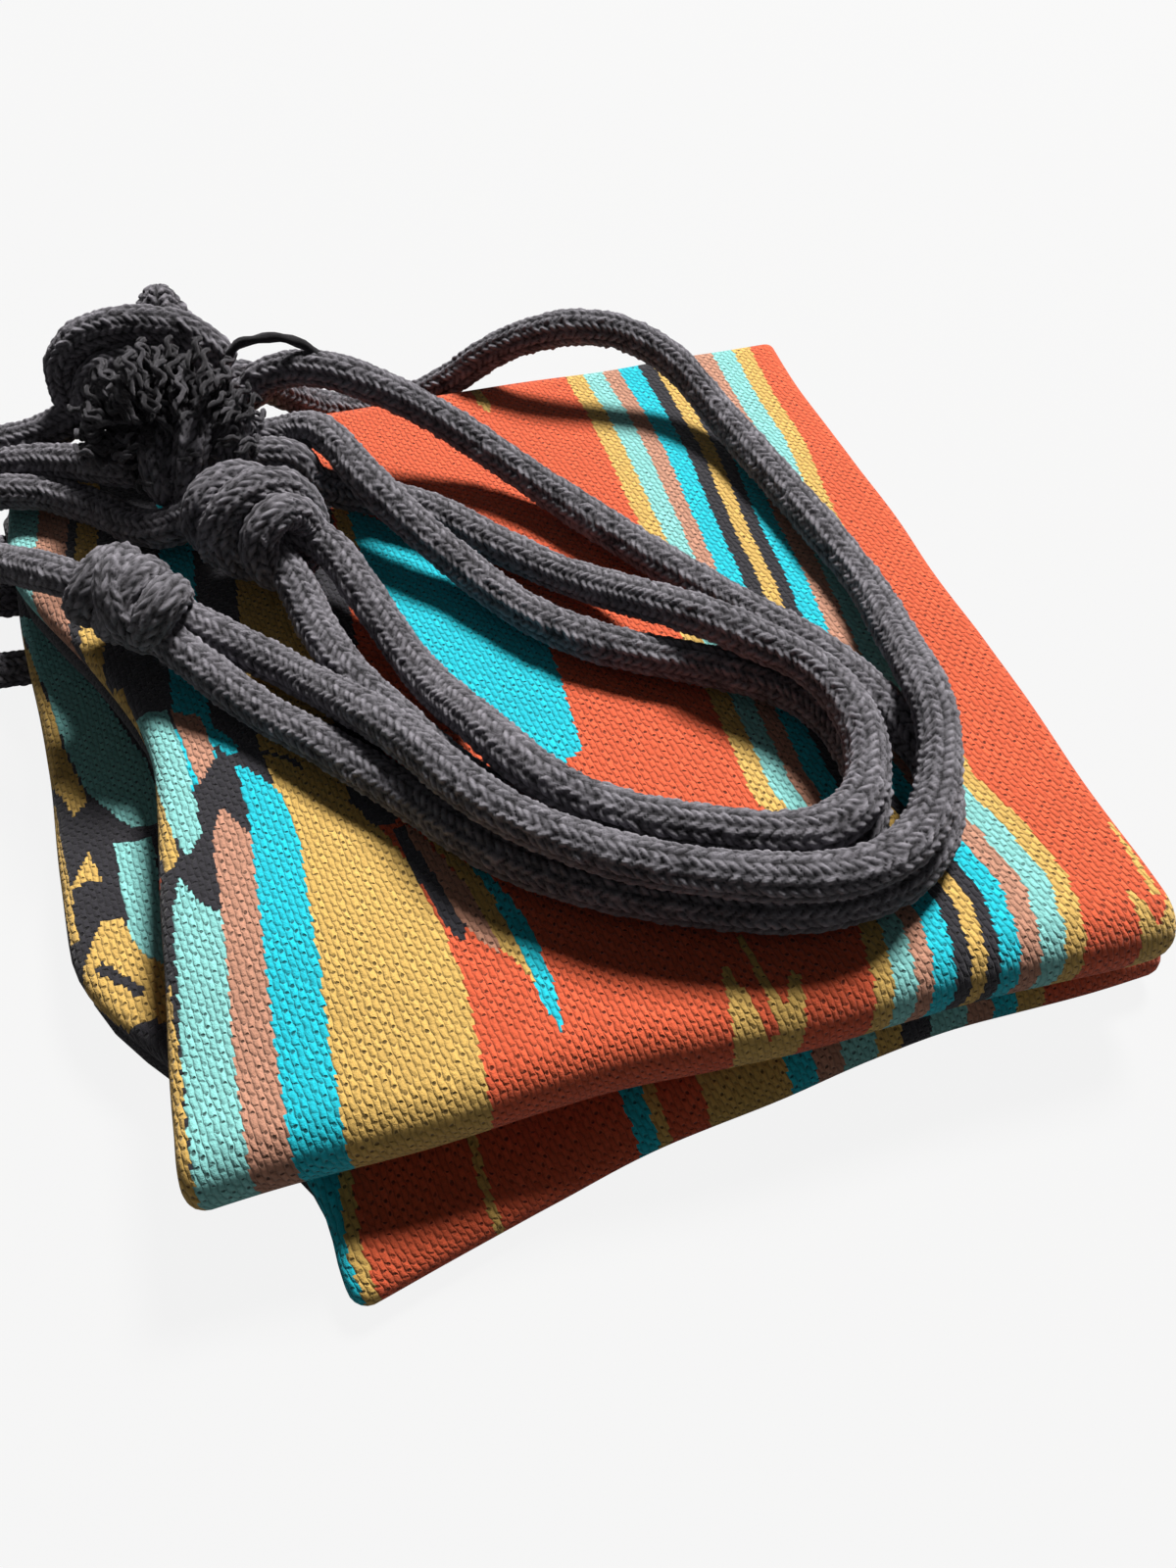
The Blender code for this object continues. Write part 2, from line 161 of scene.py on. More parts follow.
def braid_height(along, angle, draw):
    """How far the braid's skin rises, from 0 in a furrow to about 1 on a full stitch."""
    column = angle / (2 * math.pi) * BRAID_COLUMNS
    inside = column % 1
    number = np.floor(column).astype(int)
    lean = np.where(number % 2 == 0, BRAID_LEAN, -BRAID_LEAN)
    drift = BRAID_DRIFT * np.sin(along * 190 + number * 2.4)
    run = along / BRAID_STITCH + lean * (inside - 0.5) + drift + 2
    fullness = draw.random((BRAID_COLUMNS, int(run.max()) + 1))[number, np.floor(run).astype(int)]
    stitch = (1 - np.abs(2 * (run % 1) - 1) ** 2.4) ** 0.7
    return stitch * (0.3 + 0.7 * (1 - np.abs(2 * inside - 1) ** 2)) * (0.55 + 0.45 * fullness)


def soft_fuzz(shape, draw):
    """Small random swells that spread over a few neighbours."""
    swells = draw.normal(size=shape)
    for axis in (0, 1):
        swells = (swells + np.roll(swells, 1, axis) + np.roll(swells, -1, axis)) / 1.7
    return swells


def sides_of(centres):
    """Two directions across a line at each of its points, turning as little as possible."""
    forward = unit(np.gradient(centres, axis=0))
    start = np.cross(forward[0], UP)
    if np.linalg.norm(start) < 0.1:
        start = np.array((0.0, 1.0, 0.0))
    across = np.zeros_like(centres)
    across[0] = start
    for place in range(1, len(centres)):
        across[place] = across[place - 1]
        across[place] -= forward[place] * (across[place] @ forward[place])
        across[place] /= np.linalg.norm(across[place])
    across[0] -= forward[0] * (across[0] @ forward[0])
    across = unit(across)
    return across, np.cross(forward, across)


def tube_mesh(name, centres, reach, rise):
    """A closed tube whose skin stands at reach from its centres. Keeps rise on its points."""
    rings, sides = reach.shape
    across, over = sides_of(centres)
    angle = 2 * math.pi * np.arange(sides) / sides
    spoke = across[:, None] * np.cos(angle)[None, :, None] + over[:, None] * np.sin(angle)[None, :, None]
    points = (centres[:, None] + spoke * reach[..., None]).reshape(-1, 3)
    ring, side = np.meshgrid(np.arange(rings - 1), np.arange(sides), indexing="ij")
    following = (side + 1) % sides
    here, there = ring * sides, (ring + 1) * sides
    quads = np.stack([here + side, here + following, there + following, there + side], axis=-1)
    last = (rings - 1) * sides
    faces = quads.reshape(-1, 4).tolist() + [list(range(sides))[::-1], list(range(last, last + sides))]
    mesh = bpy.data.meshes.new(name)
    mesh.from_pydata(points.tolist(), [], faces)
    along = travel(centres)
    turn = np.stack([side, side + 1, side + 1, side], axis=-1) / sides
    place = np.stack([along[ring], along[ring], along[ring + 1], along[ring + 1]], axis=-1)
    corners = np.stack([turn, place], axis=-1).reshape(-1, 2)
    caps = np.zeros((2 * sides, 2))
    layer = mesh.uv_layers.new(name="rope_flat")
    layer.uv.foreach_set("vector", np.vstack([corners, caps]).astype(np.float32).ravel())
    kept = mesh.attributes.new("rope_rise", "FLOAT", "POINT")
    kept.data.foreach_set("value", np.broadcast_to(rise, reach.shape).astype(np.float32).ravel())
    mesh.shade_smooth()
    return placed(name, mesh)


def braided_rope(name, route, size=1.0, taper=None):
    """A braided rope along a route. Returns the piece and its centreline."""
    centres = smooth_route(route, ROPE_RING_SPACING)
    along = travel(centres)
    angle = 2 * math.pi * np.arange(ROPE_SIDES) / ROPE_SIDES
    draw = np.random.default_rng(sum(name.encode()))
    height = braid_height(along[:, None], angle[None, :], draw)
    fuzz = soft_fuzz(height.shape, draw)
    slow = 1 + 0.025 * np.sin(along * 61 + len(name)) + 0.02 * np.sin(along * 143 + 2.0)
    radius = ROPE_RADIUS * size * slow
    if taper is not None:
        radius = radius * np.interp(along / along[-1], *taper)
    end = np.minimum(along, along[-1] - along) / (0.6 * ROPE_RADIUS)
    rounding = np.sqrt(1 - (1 - np.clip(end, 0, 1)) ** 2 * 0.75)
    furrow = BRAID_DEPTH * size * (1 - height) * np.minimum(1, radius / ROPE_RADIUS)[:, None]
    reach = (radius * rounding)[:, None] - furrow + BRAID_FUZZ * fuzz + BRAID_SWELL
    piece = tube_mesh(name, centres, reach, np.clip(height + 0.12 * fuzz, 0, 1))
    print(name, "is", round(along[-1] * 1000), "mm long")
    return piece, centres


# %% [markdown]
# Each bridle is a pair of ropes that leave a front knot side by side, run round the bight, and go back to
# a knot in the bundle at the upper left. One rope of each pair lies on the other. The ends run on into
# the knots, so no cut end shows.

# %% The four bridle strands
KNOT_TURNS = 2.2
KNOT_WIND_RADIUS = ROPE_DIAMETER + 2 * CLEARANCE
KNOT_PITCH = ROPE_DIAMETER + 2 * CLEARANCE
KNOT_RADIUS = KNOT_WIND_RADIUS + ROPE_RADIUS
KNOT_HALF_LENGTH = (KNOT_TURNS * KNOT_PITCH + ROPE_DIAMETER) / 2
KNOTS = {
    "knot_1": ((-122.4, 29.1), (0.78, -0.62)),
    "knot_2": ((-82.0, 52.0), (0.70, -0.71)),
    "knot_3": ((-107.6, 130.5), (1.0, 0.0)),
    "knot_4": ((-95.6, 92.0), (1.0, 0.0)),
}
ON_ROPE = 1.61
BEHIND_EDGE = -0.8
STRANDS = {
    "bridle_1_strand_upper": (
        (-84, 2, 0.62), (-70, -18, 0.95), (-60, -34, 1.3), (-51, -50, 1.5), (-43, -64.5, 1.58),
        (-34, -77, ON_ROPE), (-23, -87.5, ON_ROPE), (-9, -98, ON_ROPE), (8, -106.8, ON_ROPE),
        (26, -113.5, ON_ROPE), (42, -116, ON_ROPE), (56, -113, ON_ROPE), (67, -105, ON_ROPE),
        (75, -93.5, ON_ROPE), (81.5, -80, ON_ROPE), (85, -66.5, 1.57), (88.5, -50.5, 1.2),
        (92, -32, 0.78), (94, -10), (91, 18), (86.5, 49), (79.5, 82, 0.75), (70, 106, 1.4),
        (56, 120, 1.9), (40, 128, 2.0), (24, 134.5, 1.65), (9, 141, 0.95), (-8, 147, -0.15),
        (-31, 148.5, BEHIND_EDGE), (-53, 148, -0.45), (-69, 143.5, 0.6),
    ),
    "bridle_1_strand_lower": (
        (-95, -8), (-79, -27), (-66, -43), (-55, -57), (-46, -69), (-36, -80.5), (-24, -90.5),
        (-9, -99.8), (8, -108), (26, -114.3), (42, -116.5), (57, -114.5), (69, -107.5), (78, -96),
        (82, -81), (79.5, -63), (75, -47), (68.5, -32), (59, -17), (49, -2), (38, 15), (25, 37),
        (11, 60, 0.65), (-4, 80, 1.05), (-18, 94, 1.55), (-33, 105, 2.05), (-49, 113.5, 2.45),
        (-62, 119.5, 2.45), (-73, 123, 2.15),
    ),
    "bridle_2_strand_right": (
        (-64.5, 42.6, 1.35), (-56.9, 25.8, 0.95), (-51.4, 10, 0.62), (-47, -5), (-41, -22, 0.68),
        (-35.5, -38, 1.14), (-30.5, -52, 1.45), (-24, -66, ON_ROPE), (-13.8, -78.2, ON_ROPE),
        (-0.5, -88, ON_ROPE), (13.8, -95, ON_ROPE), (27, -100.5, ON_ROPE), (38, -102.3, ON_ROPE),
        (48, -99.3, ON_ROPE), (56, -91.5, ON_ROPE), (61, -80, ON_ROPE), (62.5, -68, ON_ROPE),
        (61, -57, ON_ROPE), (56.5, -46.5, ON_ROPE), (48, -36, ON_ROPE), (38.5, -24.5, 1.58),
        (28, -11, 1.3), (17, 4.5, 0.85), (4, 21), (-11, 39), (-25, 57.5), (-36, 67.5), (-46, 74.5),
        (-56, 79.5, 0.6), (-64, 82, 0.95),
    ),
    "bridle_2_strand_left": (
        (-76, 34, 1.0), (-71.5, 15, 0.6), (-65, -5), (-56, -24), (-47, -41.5), (-37, -57.5),
        (-27.3, -70.2), (-16.5, -80), (-3, -88.6), (13, -96.3), (29, -102), (42, -103.5), (53.5, -98),
        (61, -87), (64, -73), (62.5, -60), (57, -48), (47, -37.5), (33, -28), (18, -19), (3, -8),
        (-11.5, 9), (-24, 29.5, 0.7), (-36, 47.5, 1.12), (-45, 63, 1.5), (-50.3, 75, 1.66),
        (-54.5, 86, 1.78), (-60, 94, 1.82),
    ),
}
BACK_END = 1.6
STRAND_ENDS = {
    "bridle_1_strand_upper": ("knot_1", -1, "knot_3", -1),
    "bridle_1_strand_lower": ("knot_1", 1, "knot_3", 1),
    "bridle_2_strand_right": ("knot_2", -1, "knot_4", 1),
    "bridle_2_strand_left": ("knot_2", 1, "knot_4", -1),
}
STRANDS_APART_INSIDE = 0.0025
STRAND_LEAVES = 0.005


def knot_axis(name):
    """A knot's middle, lying on the cloth, the unit vector to its bridle, and the one to its side."""
    (x, y), way = KNOTS[name]
    way = unit(np.array((*way, 0.0)))
    return on_grid(x, y, PACK_HEIGHT + KNOT_RADIUS + CLEARANCE), way, np.cross(way, UP)


def strand_heart(knot, side_sign):
    """A strand's end in the heart of its knot."""
    middle, _, side = knot_axis(knot)
    return middle + side * side_sign * STRANDS_APART_INSIDE


def strand_leaves(knot, side_sign, height):
    """The point where a strand leaves its knot's turns."""
    middle, way, side = knot_axis(knot)
    leaves = middle + side * side_sign * (ROPE_RADIUS + CLEARANCE)
    leaves = leaves + way * (KNOT_HALF_LENGTH + STRAND_LEAVES)
    leaves[2] = (middle[2] + PACK_HEIGHT + height * ROPE_DIAMETER) / 2
    return leaves


ropes = {}
routes = {}
for name, points in STRANDS.items():
    first_knot, first_side, last_knot, last_side = STRAND_ENDS[name]
    route = [strand_heart(first_knot, first_side)]
    route += above_cloth(points)
    route += [strand_leaves(last_knot, last_side, BACK_END), strand_heart(last_knot, last_side)]
    ropes[name], routes[name] = braided_rope(name + "_rope", route)

# %% [markdown]
# A single lead runs from each knot to the pack's left edge, turns down in an easy half circle and goes
# into the hem. The real lead is one rope, so it is one piece here, where the part's solids have two that
# meet on the hinge.

# %% The four leads
HINGE_X = -196
LEAD_ENDS_Y = {1: 70, 2: 106, 3: 133, 4: 119.5}
LEADS = {
    1: ((-150, 54, 1.3), (-162, 65.5, 0.95)),
    2: ((-104, 69, 1.15), (-114, 72, 0.8), (-123, 79, 0.62), (-130.5, 88, 0.6), (-139, 95.5, 0.6),
        (-150, 103, 0.66), (-164, 105.5, 0.78)),
    3: ((-138, 131.5, 1.35), (-151, 132, 0.95), (-164, 133, 0.8)),
    4: ((-124, 95.5, 1.55), (-136, 104.5, 1.35), (-149, 113, 1.1), (-164, 118.5, 0.85)),
}
KNOT_CORE_REACH = 0.008
LEAD_TURN_RADIUS = 0.022
LEAD_TURN_HEIGHT = 0.0315
LEAD_TURN_STEPS = 8
INTO_HEM = 0.007

for number, points in LEADS.items():
    middle, way, _ = knot_axis(f"knot_{number}")
    y = LEAD_ENDS_Y[number]
    turn_middle = on_grid(HINGE_X, y, LEAD_TURN_HEIGHT) + (LEAD_TURN_RADIUS, 0.0, 0.0)
    route = [middle + way * KNOT_CORE_REACH, middle, middle - way * KNOT_HALF_LENGTH]
    route += above_cloth(points)
    for step in range(LEAD_TURN_STEPS + 1):
        angle = math.pi * (0.5 + step / LEAD_TURN_STEPS)
        spoke = np.array((math.cos(angle), 0.0, math.sin(angle)))
        route.append(turn_middle + spoke * LEAD_TURN_RADIUS)
    hem_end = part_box(f"hem_rope_{number}")[1]
    route.append(np.array((hem_end.x + INTO_HEM, route[-1][1], route[-1][2])))
    name = f"lead_{number}"
    ropes[name], routes[name] = braided_rope(name + "_rope", route)

# %% [markdown]
# A knot like these is a lump of turns drawn tight. We wind the same rope round the lead, as the solids
# do, but let each turn lean and the middle one stand out, and tuck both ends inside, so it looks pulled
# and not coiled. A last turn is then drawn across the others, as it is in a tied knot.

# %% The four knots
KNOT_TUCK_TURNS = 0.35
KNOT_LEANS = {"knot_1": 0.0036, "knot_2": -0.0034, "knot_3": 0.0030, "knot_4": -0.0030}
KNOT_TIGHTNESS = {"knot_1": 0.68, "knot_2": 0.95, "knot_3": 1.0, "knot_4": 1.0}
KNOT_POINTS = 64
CROSSING_SLANT = 0.024
CROSSING_FROM = math.radians(-55)
CROSSING_TO = math.radians(215)
CROSSING_POINTS = 14


def round_knot(name, along, angle, swell):
    """A point round a knot: along its axis, at an angle, and at its winding's radius times swell."""
    middle, way, side = knot_axis(name)
    radius = KNOT_TIGHTNESS[name] * KNOT_WIND_RADIUS * swell
    return middle + way * along + (side * math.cos(angle) + UP * math.sin(angle)) * radius


def knot_route(name):
    """The turns of a knot, from one tucked end to the other."""
    route = []
    total = KNOT_TURNS + 2 * KNOT_TUCK_TURNS
    for step in range(KNOT_POINTS + 1):
        turns = total * step / KNOT_POINTS - KNOT_TUCK_TURNS
        angle = 2 * math.pi * turns
        share = min(max(turns / KNOT_TURNS, 0.0), 1.0)
        tuck = max(-turns, turns - KNOT_TURNS, 0.0) / KNOT_TUCK_TURNS
        swell = (0.86 + 0.13 * math.sin(math.pi * share)) * (1 - 0.62 * tuck)
        along = (share - 0.5) * KNOT_TURNS * KNOT_PITCH * 0.9 + KNOT_LEANS[name] * math.sin(angle + 0.6)
        route.append(round_knot(name, along, angle, swell))
    return route


def crossing_route(name):
    """The turn that is drawn across the others, from low on one side, over the top, to low on the other."""
    slant = math.copysign(CROSSING_SLANT, KNOT_LEANS[name])
    route = []
    for step in range(CROSSING_POINTS + 1):
        share = step / CROSSING_POINTS
        angle = CROSSING_FROM + (CROSSING_TO - CROSSING_FROM) * share
        swell = 0.75 + 0.42 * math.sin(math.pi * share) ** 0.7
        route.append(round_knot(name, slant * (0.5 - share), angle, swell))
    return route


def joined(pieces, name):
    """Several pieces made one, under a name."""
    with bpy.context.temp_override(active_object=pieces[0], selected_editable_objects=pieces):
        bpy.ops.object.join()
    pieces[0].name = name
    pieces[0].data.name = name
    return pieces[0]


for name in KNOTS:
    turns, _ = braided_rope(name + "_turns", knot_route(name), size=0.98)
    crossing, _ = braided_rope(name + "_crossing", crossing_route(name))
    ropes[name] = joined([turns, crossing], name + "_rope")

# %% [markdown]
# Two small things stand on the third knot: a loose turn of rope over its top, and a short end drawn to a
# blunt point. Both are the same rope, so both use the braided tube, and the point comes from a taper.

# %% The loose turn and the short end
KNOT_3_LOOP = (
    (-137, 131, 1.7), (-137, 132.5, 2.5), (-135.5, 133, 3.0), (-129, 134, 3.5), (-120, 134, 3.72),
    (-110, 133, 3.78), (-101, 131, 3.72), (-94, 129, 3.55), (-88, 127, 3.1), (-84, 125, 2.5),
)
KNOT_3_INNER_LOOP = (
    (-132, 126, 1.5), (-130, 126.5, 2.2), (-125, 127.5, 2.75), (-117, 128, 2.98), (-107, 127, 3.0),
    (-98, 125.5, 2.8), (-92, 124, 2.3),
)
TAIL_LENGTH = 0.0175
TAIL_LEAN = math.radians(42)
TAIL_ALONG_KNOT = 0.006
TAIL_FULLNESS = 2.2

outer, _ = braided_rope("outer_turn", above_cloth(KNOT_3_LOOP))
inner, _ = braided_rope("inner_turn", above_cloth(KNOT_3_INNER_LOOP))
ropes["knot_3_loop"] = joined([outer, inner], "knot_3_loose_turn")
middle, way, _ = knot_axis("knot_3")
tail_way = np.array((0.0, math.sin(TAIL_LEAN), math.cos(TAIL_LEAN)))
tail_foot = middle + way * TAIL_ALONG_KNOT + tail_way * KNOT_WIND_RADIUS
tail_steps = np.linspace(0, TAIL_LENGTH + ROPE_RADIUS, 5)
ropes["knot_3_tail"], _ = braided_rope(
    "knot_3_short_end", [tail_foot + tail_way * step for step in tail_steps], size=TAIL_FULLNESS,
    taper=((0, 0.5, 0.8, 1.0), (1.0, 0.80, 0.58, 0.40)),
)

# %% [markdown]
# Where the last knot's rope was cut, its yarns have sprung open like a tassel that faces forwards. Hair
# could do this, but it would not survive as a mesh, so each yarn is a thin tube. It starts in the knot,
# runs out to the tassel's rim and curls over it, with a crimp left from the braid. The draws are seeded,
# so the tassel is the same each time. One long yarn has sprung right over to the next rope.

# %% The frayed yarns
YARN_DIAMETER = 0.0016
YARN_SIDES = 7
YARN_RISE = 0.12
YARN_POINTS = 16
RIM_YARNS = 230
INNER_YARNS = 130
TASSEL_SHIFT = np.array((-0.0085, 0.003, 0.008))
TASSEL_WIDE = 0.0225
TASSEL_HIGH = 0.0235
TASSEL_RISE_WAY = unit(np.array((0.0, 0.42, 0.91)))
TASSEL_FRONT_WAY = unit(np.array((0.0, -0.91, 0.42)))
LONG_YARN = (
    (-84, 121, 2.8), (-79.2, 121.7, 3.3), (-73.5, 120.1, 3.45), (-67.7, 119.3, 3.5), (-62.8, 119.5, 3.38),
    (-58, 119.5, 3.15), (-53.6, 117.5, 2.85), (-51, 114.5, 2.5),
)


def yarn_tubes(name, lines, diameter):
    """Many thin tubes in one piece."""
    tubes = []
    for place, line in enumerate(lines):
        centres = smooth_route(line, diameter * 0.6)
        along = travel(centres)
        strand = 2 * math.pi * 2 * np.arange(YARN_SIDES)[None, :] / YARN_SIDES
        twist = 1 + 0.16 * np.sin(along[:, None] * 2600 + strand)
        ends = np.clip(np.minimum(along, along[-1] - along) / diameter, 0.35, 1)[:, None]
        reach = diameter / 2 * twist * ends
        tubes.append(tube_mesh(f"{name}_{place}", centres, reach, YARN_RISE * (place % 3)))
    return joined(tubes, name)


def tassel_yarn(draw, turn, spread):
    """One yarn from the knot's heart out to the rim at this turn, and over it."""
    heart = tassel_heart + np.array([draw.uniform(-0.006, 0.006) for _ in range(3)])
    out = np.array((1.0, 0.0, 0.0)) * math.cos(turn) * TASSEL_WIDE
    out = out + TASSEL_RISE_WAY * math.sin(turn) * TASSEL_HIGH
    cross = np.cross(TASSEL_FRONT_WAY, unit(out))
    reach = spread * draw.uniform(0.82, 1.12)
    forward = draw.uniform(-0.004, 0.010)
    curl = draw.uniform(0.005, 0.012)
    crimp_size = draw.uniform(0.0005, 0.0016)
    start = draw.uniform(0, 6.3)
    line = []
    for step in range(YARN_POINTS + 1):
        share = step / YARN_POINTS
        bend = min(share / 0.7, 1.0)
        over = max(share - 0.62, 0.0) / 0.38
        crimp = cross * crimp_size * math.sin(share * 26 + start)
        point = heart + out * reach * math.sin(bend * math.pi / 2) + TASSEL_FRONT_WAY * forward * bend
        point = point + TASSEL_FRONT_WAY * curl * over - out * 0.28 * over**2
        line.append(point + crimp + TASSEL_FRONT_WAY * crimp_size * 0.6 * math.cos(share * 23 + start))
    return line


draw = random.Random(7)
tassel_heart = knot_axis("knot_4")[0] + TASSEL_SHIFT
yarn_lines = [tassel_yarn(draw, draw.uniform(-0.25, math.pi + 0.15), 1.0) for _ in range(RIM_YARNS)]
yarn_lines += [tassel_yarn(draw, draw.uniform(-1.2, math.pi + 1.2), 0.62) for _ in range(INNER_YARNS)]
tassel = yarn_tubes("tassel_yarns", yarn_lines, YARN_DIAMETER)
long_yarn = yarn_tubes("long_yarn", [above_cloth(LONG_YARN)], 2.0 * YARN_DIAMETER)
ropes["knot_4_frayed_end"] = joined([tassel, long_yarn], "frayed_yarns")
print("frayed yarns", len(yarn_lines))

# %% [markdown]
# The cloth is one sheet. It was folded in half twice across its width, which makes a band four plies
# thick, and the band was laid to and fro in four layers. Cloth simulation would have to fold sixteen
# plies through each other, so we write the folds down: a section across the band, swept along the layers.
# The photo shows two soft pads a little out of line, so each pair of layers has its own plan.

# %% The cloth's plan and folds
BAND_THICKNESS = 0.0108
LAYER_GAP = 0.0006
LAYERS = 4
LAYER_PITCH = BAND_THICKNESS + LAYER_GAP
PLY_PITCH = 0.0027
PLY_THICKNESS = 0.0022
EDGE_INSET = BAND_THICKNESS / 2 / GRID_STEP
PADS = (
    {
        "front_left": (-97, -155), "front_right": (137, -124),
        "back_left": (-132, 138), "back_right": (112, 122),
        "swell": 45, "swell_from": 0.02, "swell_to": 0.33, "front_dip": 8,
    },
    {
        "front_left": (-126, -131), "front_right": (128, -129),
        "back_left": (-124, 137), "back_right": (122, 138),
        "swell": 44, "swell_from": 0.42, "swell_to": 0.85, "front_dip": 0,
    },
)


def ease(value, low, high):
    share = np.clip((value - low) / (high - low), 0, 1)
    return share * share * (3 - 2 * share)


def pad_plan(pad, across, along):
    """A pad's plan in millimetres: across from left to right, along from front to back."""
    across, along = np.broadcast_arrays(across, along)
    corner = {key: np.array(value, float) for key, value in pad.items() if isinstance(value, tuple)}
    share = across[..., None]
    front = corner["front_left"] * (1 - share) + corner["front_right"] * share
    back = corner["back_left"] * (1 - share) + corner["back_right"] * share
    plan = front * (1 - along[..., None]) + back * along[..., None]
    swell = pad["swell"] * ease(along, pad["swell_from"], pad["swell_to"]) * (1 - across) ** 2
    plan[..., 0] -= swell
    plan[..., 1] += pad["front_dip"] * np.sin(math.pi * across) * (1 - along) ** 3
    return plan


def pack_plan(level, across, along):
    """As pad_plan, for a level from 0, the lowest layer, to the top one."""
    share = np.clip(level - 1, 0, 1)[..., None]
    return pad_plan(PADS[0], across, along) * (1 - share) + pad_plan(PADS[1], across, along) * share


# %% [markdown]
# The section starts with the outer ply's right edge, which is turned down as a hem. It goes over the
# outer ply, round its left edge, back along the bottom ply, and then through the two plies inside. The
# stations go down the layers, with a half turn at each fold. Hidden plies get few points, and the top ply
# gets many.

# %% The band's section and its stations
OUTER_STEPS, UNDER_STEPS, INNER_STEPS = 64, 40, 14
HEM_STEPS, EDGE_STEPS, INNER_EDGE_STEPS = 8, 10, 5
HEM_TURN = math.radians(150)
BAND_WIDTH = 0.25
OUTER_PLY = 1.5 * PLY_PITCH
INNER_PLY = 0.5 * PLY_PITCH
LAYER_STEPS = {3: 70, 2: 16, 1: 56, 0: 30}
FOLD_STEPS = 12


def band_section():
    """Rows of across, offset from the band's middle, stand-out at its edge and length past the left one."""
    rows = []
    length = 0.0

    def straight(steps, start, offset):
        nonlocal length
        for step in range(steps + 1):
            share = step / steps
            past = 0.0 if offset > PLY_PITCH else length + BAND_WIDTH * share
            rows.append((1 - share if start else share, offset, 0.0, past))
        if offset <= PLY_PITCH:
            length += BAND_WIDTH

    def turn(steps, across, middle, radius, way):
        nonlocal length
        for step in range(1, steps):
            angle = math.pi * step / steps
            stand = radius * math.sin(angle) * (2 * across - 1)
            rows.append((across, middle + way * radius * math.cos(angle), stand, length + radius * angle))
        length += math.pi * radius

    for step in range(HEM_STEPS):
        angle = HEM_TURN * (1 - step / HEM_STEPS)
        rows.append((1.0, OUTER_PLY * math.cos(angle), OUTER_PLY * math.sin(angle), -OUTER_PLY * angle))
    straight(OUTER_STEPS, 1, OUTER_PLY)
    turn(EDGE_STEPS, 0, 0.0, OUTER_PLY, 1)
    straight(UNDER_STEPS, 0, -OUTER_PLY)
    turn(INNER_EDGE_STEPS, 1, -PLY_PITCH, INNER_PLY, -1)
    straight(INNER_STEPS, 1, -INNER_PLY)
    turn(INNER_EDGE_STEPS, 0, 0.0, INNER_PLY, -1)
    straight(INNER_STEPS, 0, INNER_PLY)
    return np.array(rows)


def band_stations():
    """Rows of level, along, height, stand-out, the face's outward and upward parts, and a fold's turn."""
    rows = []
    for layer in reversed(range(LAYERS)):
        to_front = (LAYERS - 1 - layer) % 2 == 0
        height = BAND_THICKNESS / 2 + layer * LAYER_PITCH
        face = 1 if to_front else -1
        steps = LAYER_STEPS[layer]
        for step in range(steps + 1):
            share = step / steps
            rows.append((layer, 1 - share if to_front else share, height, 0.0, 0.0, face, 0.0))
        if layer == 0:
            continue
        for step in range(1, FOLD_STEPS):
            angle = math.pi * step / FOLD_STEPS
            rows.append((
                layer - step / FOLD_STEPS, 0.0 if to_front else 1.0,
                height - LAYER_PITCH / 2 * (1 - math.cos(angle)), LAYER_PITCH / 2 * math.sin(angle),
                face * math.sin(angle), face * math.cos(angle), angle,
            ))
    return np.array(rows)


section = band_section()
stations = band_stations()
print("cloth grid", len(stations), "by", len(section))

# %% [markdown]
# Now the sheet itself. Every grid point also gets its place on the flat cloth, in millimetres, as a UV
# map. The top ply keeps its own plan there, so the pattern can be drawn on it as seen from above, and
# past an edge the map runs on by the length of cloth. Then the sheet sags a little, and its overhanging
# corner droops.

# %% Fold the sheet
PLAN_TO_MAP = np.array((64.0, 260.0))
LOWER_MAP_DROP = 600.0
FOLD_OUTER_RADIUS = (LAYER_PITCH / 2 + OUTER_PLY) / GRID_STEP
DROOP = 0.005
DROOP_REACH = 70.0
SAG = 0.0012
WAVE_SEED = 16
WAVES_PER_METRE = 22
WAVE_SIZE = 0.0022
UPPER_PAD_FROM, UPPER_PAD_TO = 0.018, 0.034
FRONT_FALL = 0.50
FRONT_FALLS_FROM, FRONT_FALLS_TO = 112.0, 152.0

level, along, height, stand_out, face_out, face_up, fold_turn = stations.T[:, :, None]
across, offset, edge_out, past_edge = section.T[:, None, :]
plan = pack_plan(np.broadcast_to(level, (len(stations), len(section))), across, along)
left, right = (pack_plan(level, np.full_like(along, end), along) for end in (0.0, 1.0))
sideways = unit(right - left)
inward = np.where(along < 0.5, 0.04, -0.04)
outward = unit(plan - pack_plan(np.broadcast_to(level, plan.shape[:2]), across, along + inward))
flat_plan = plan + sideways * (EDGE_INSET * (1 - 2 * across))[..., None]
shaped = flat_plan + sideways * (edge_out / GRID_STEP)[..., None]
shaped = shaped + outward * ((stand_out + offset * face_out) / GRID_STEP)[..., None]
lift = height + offset * face_up

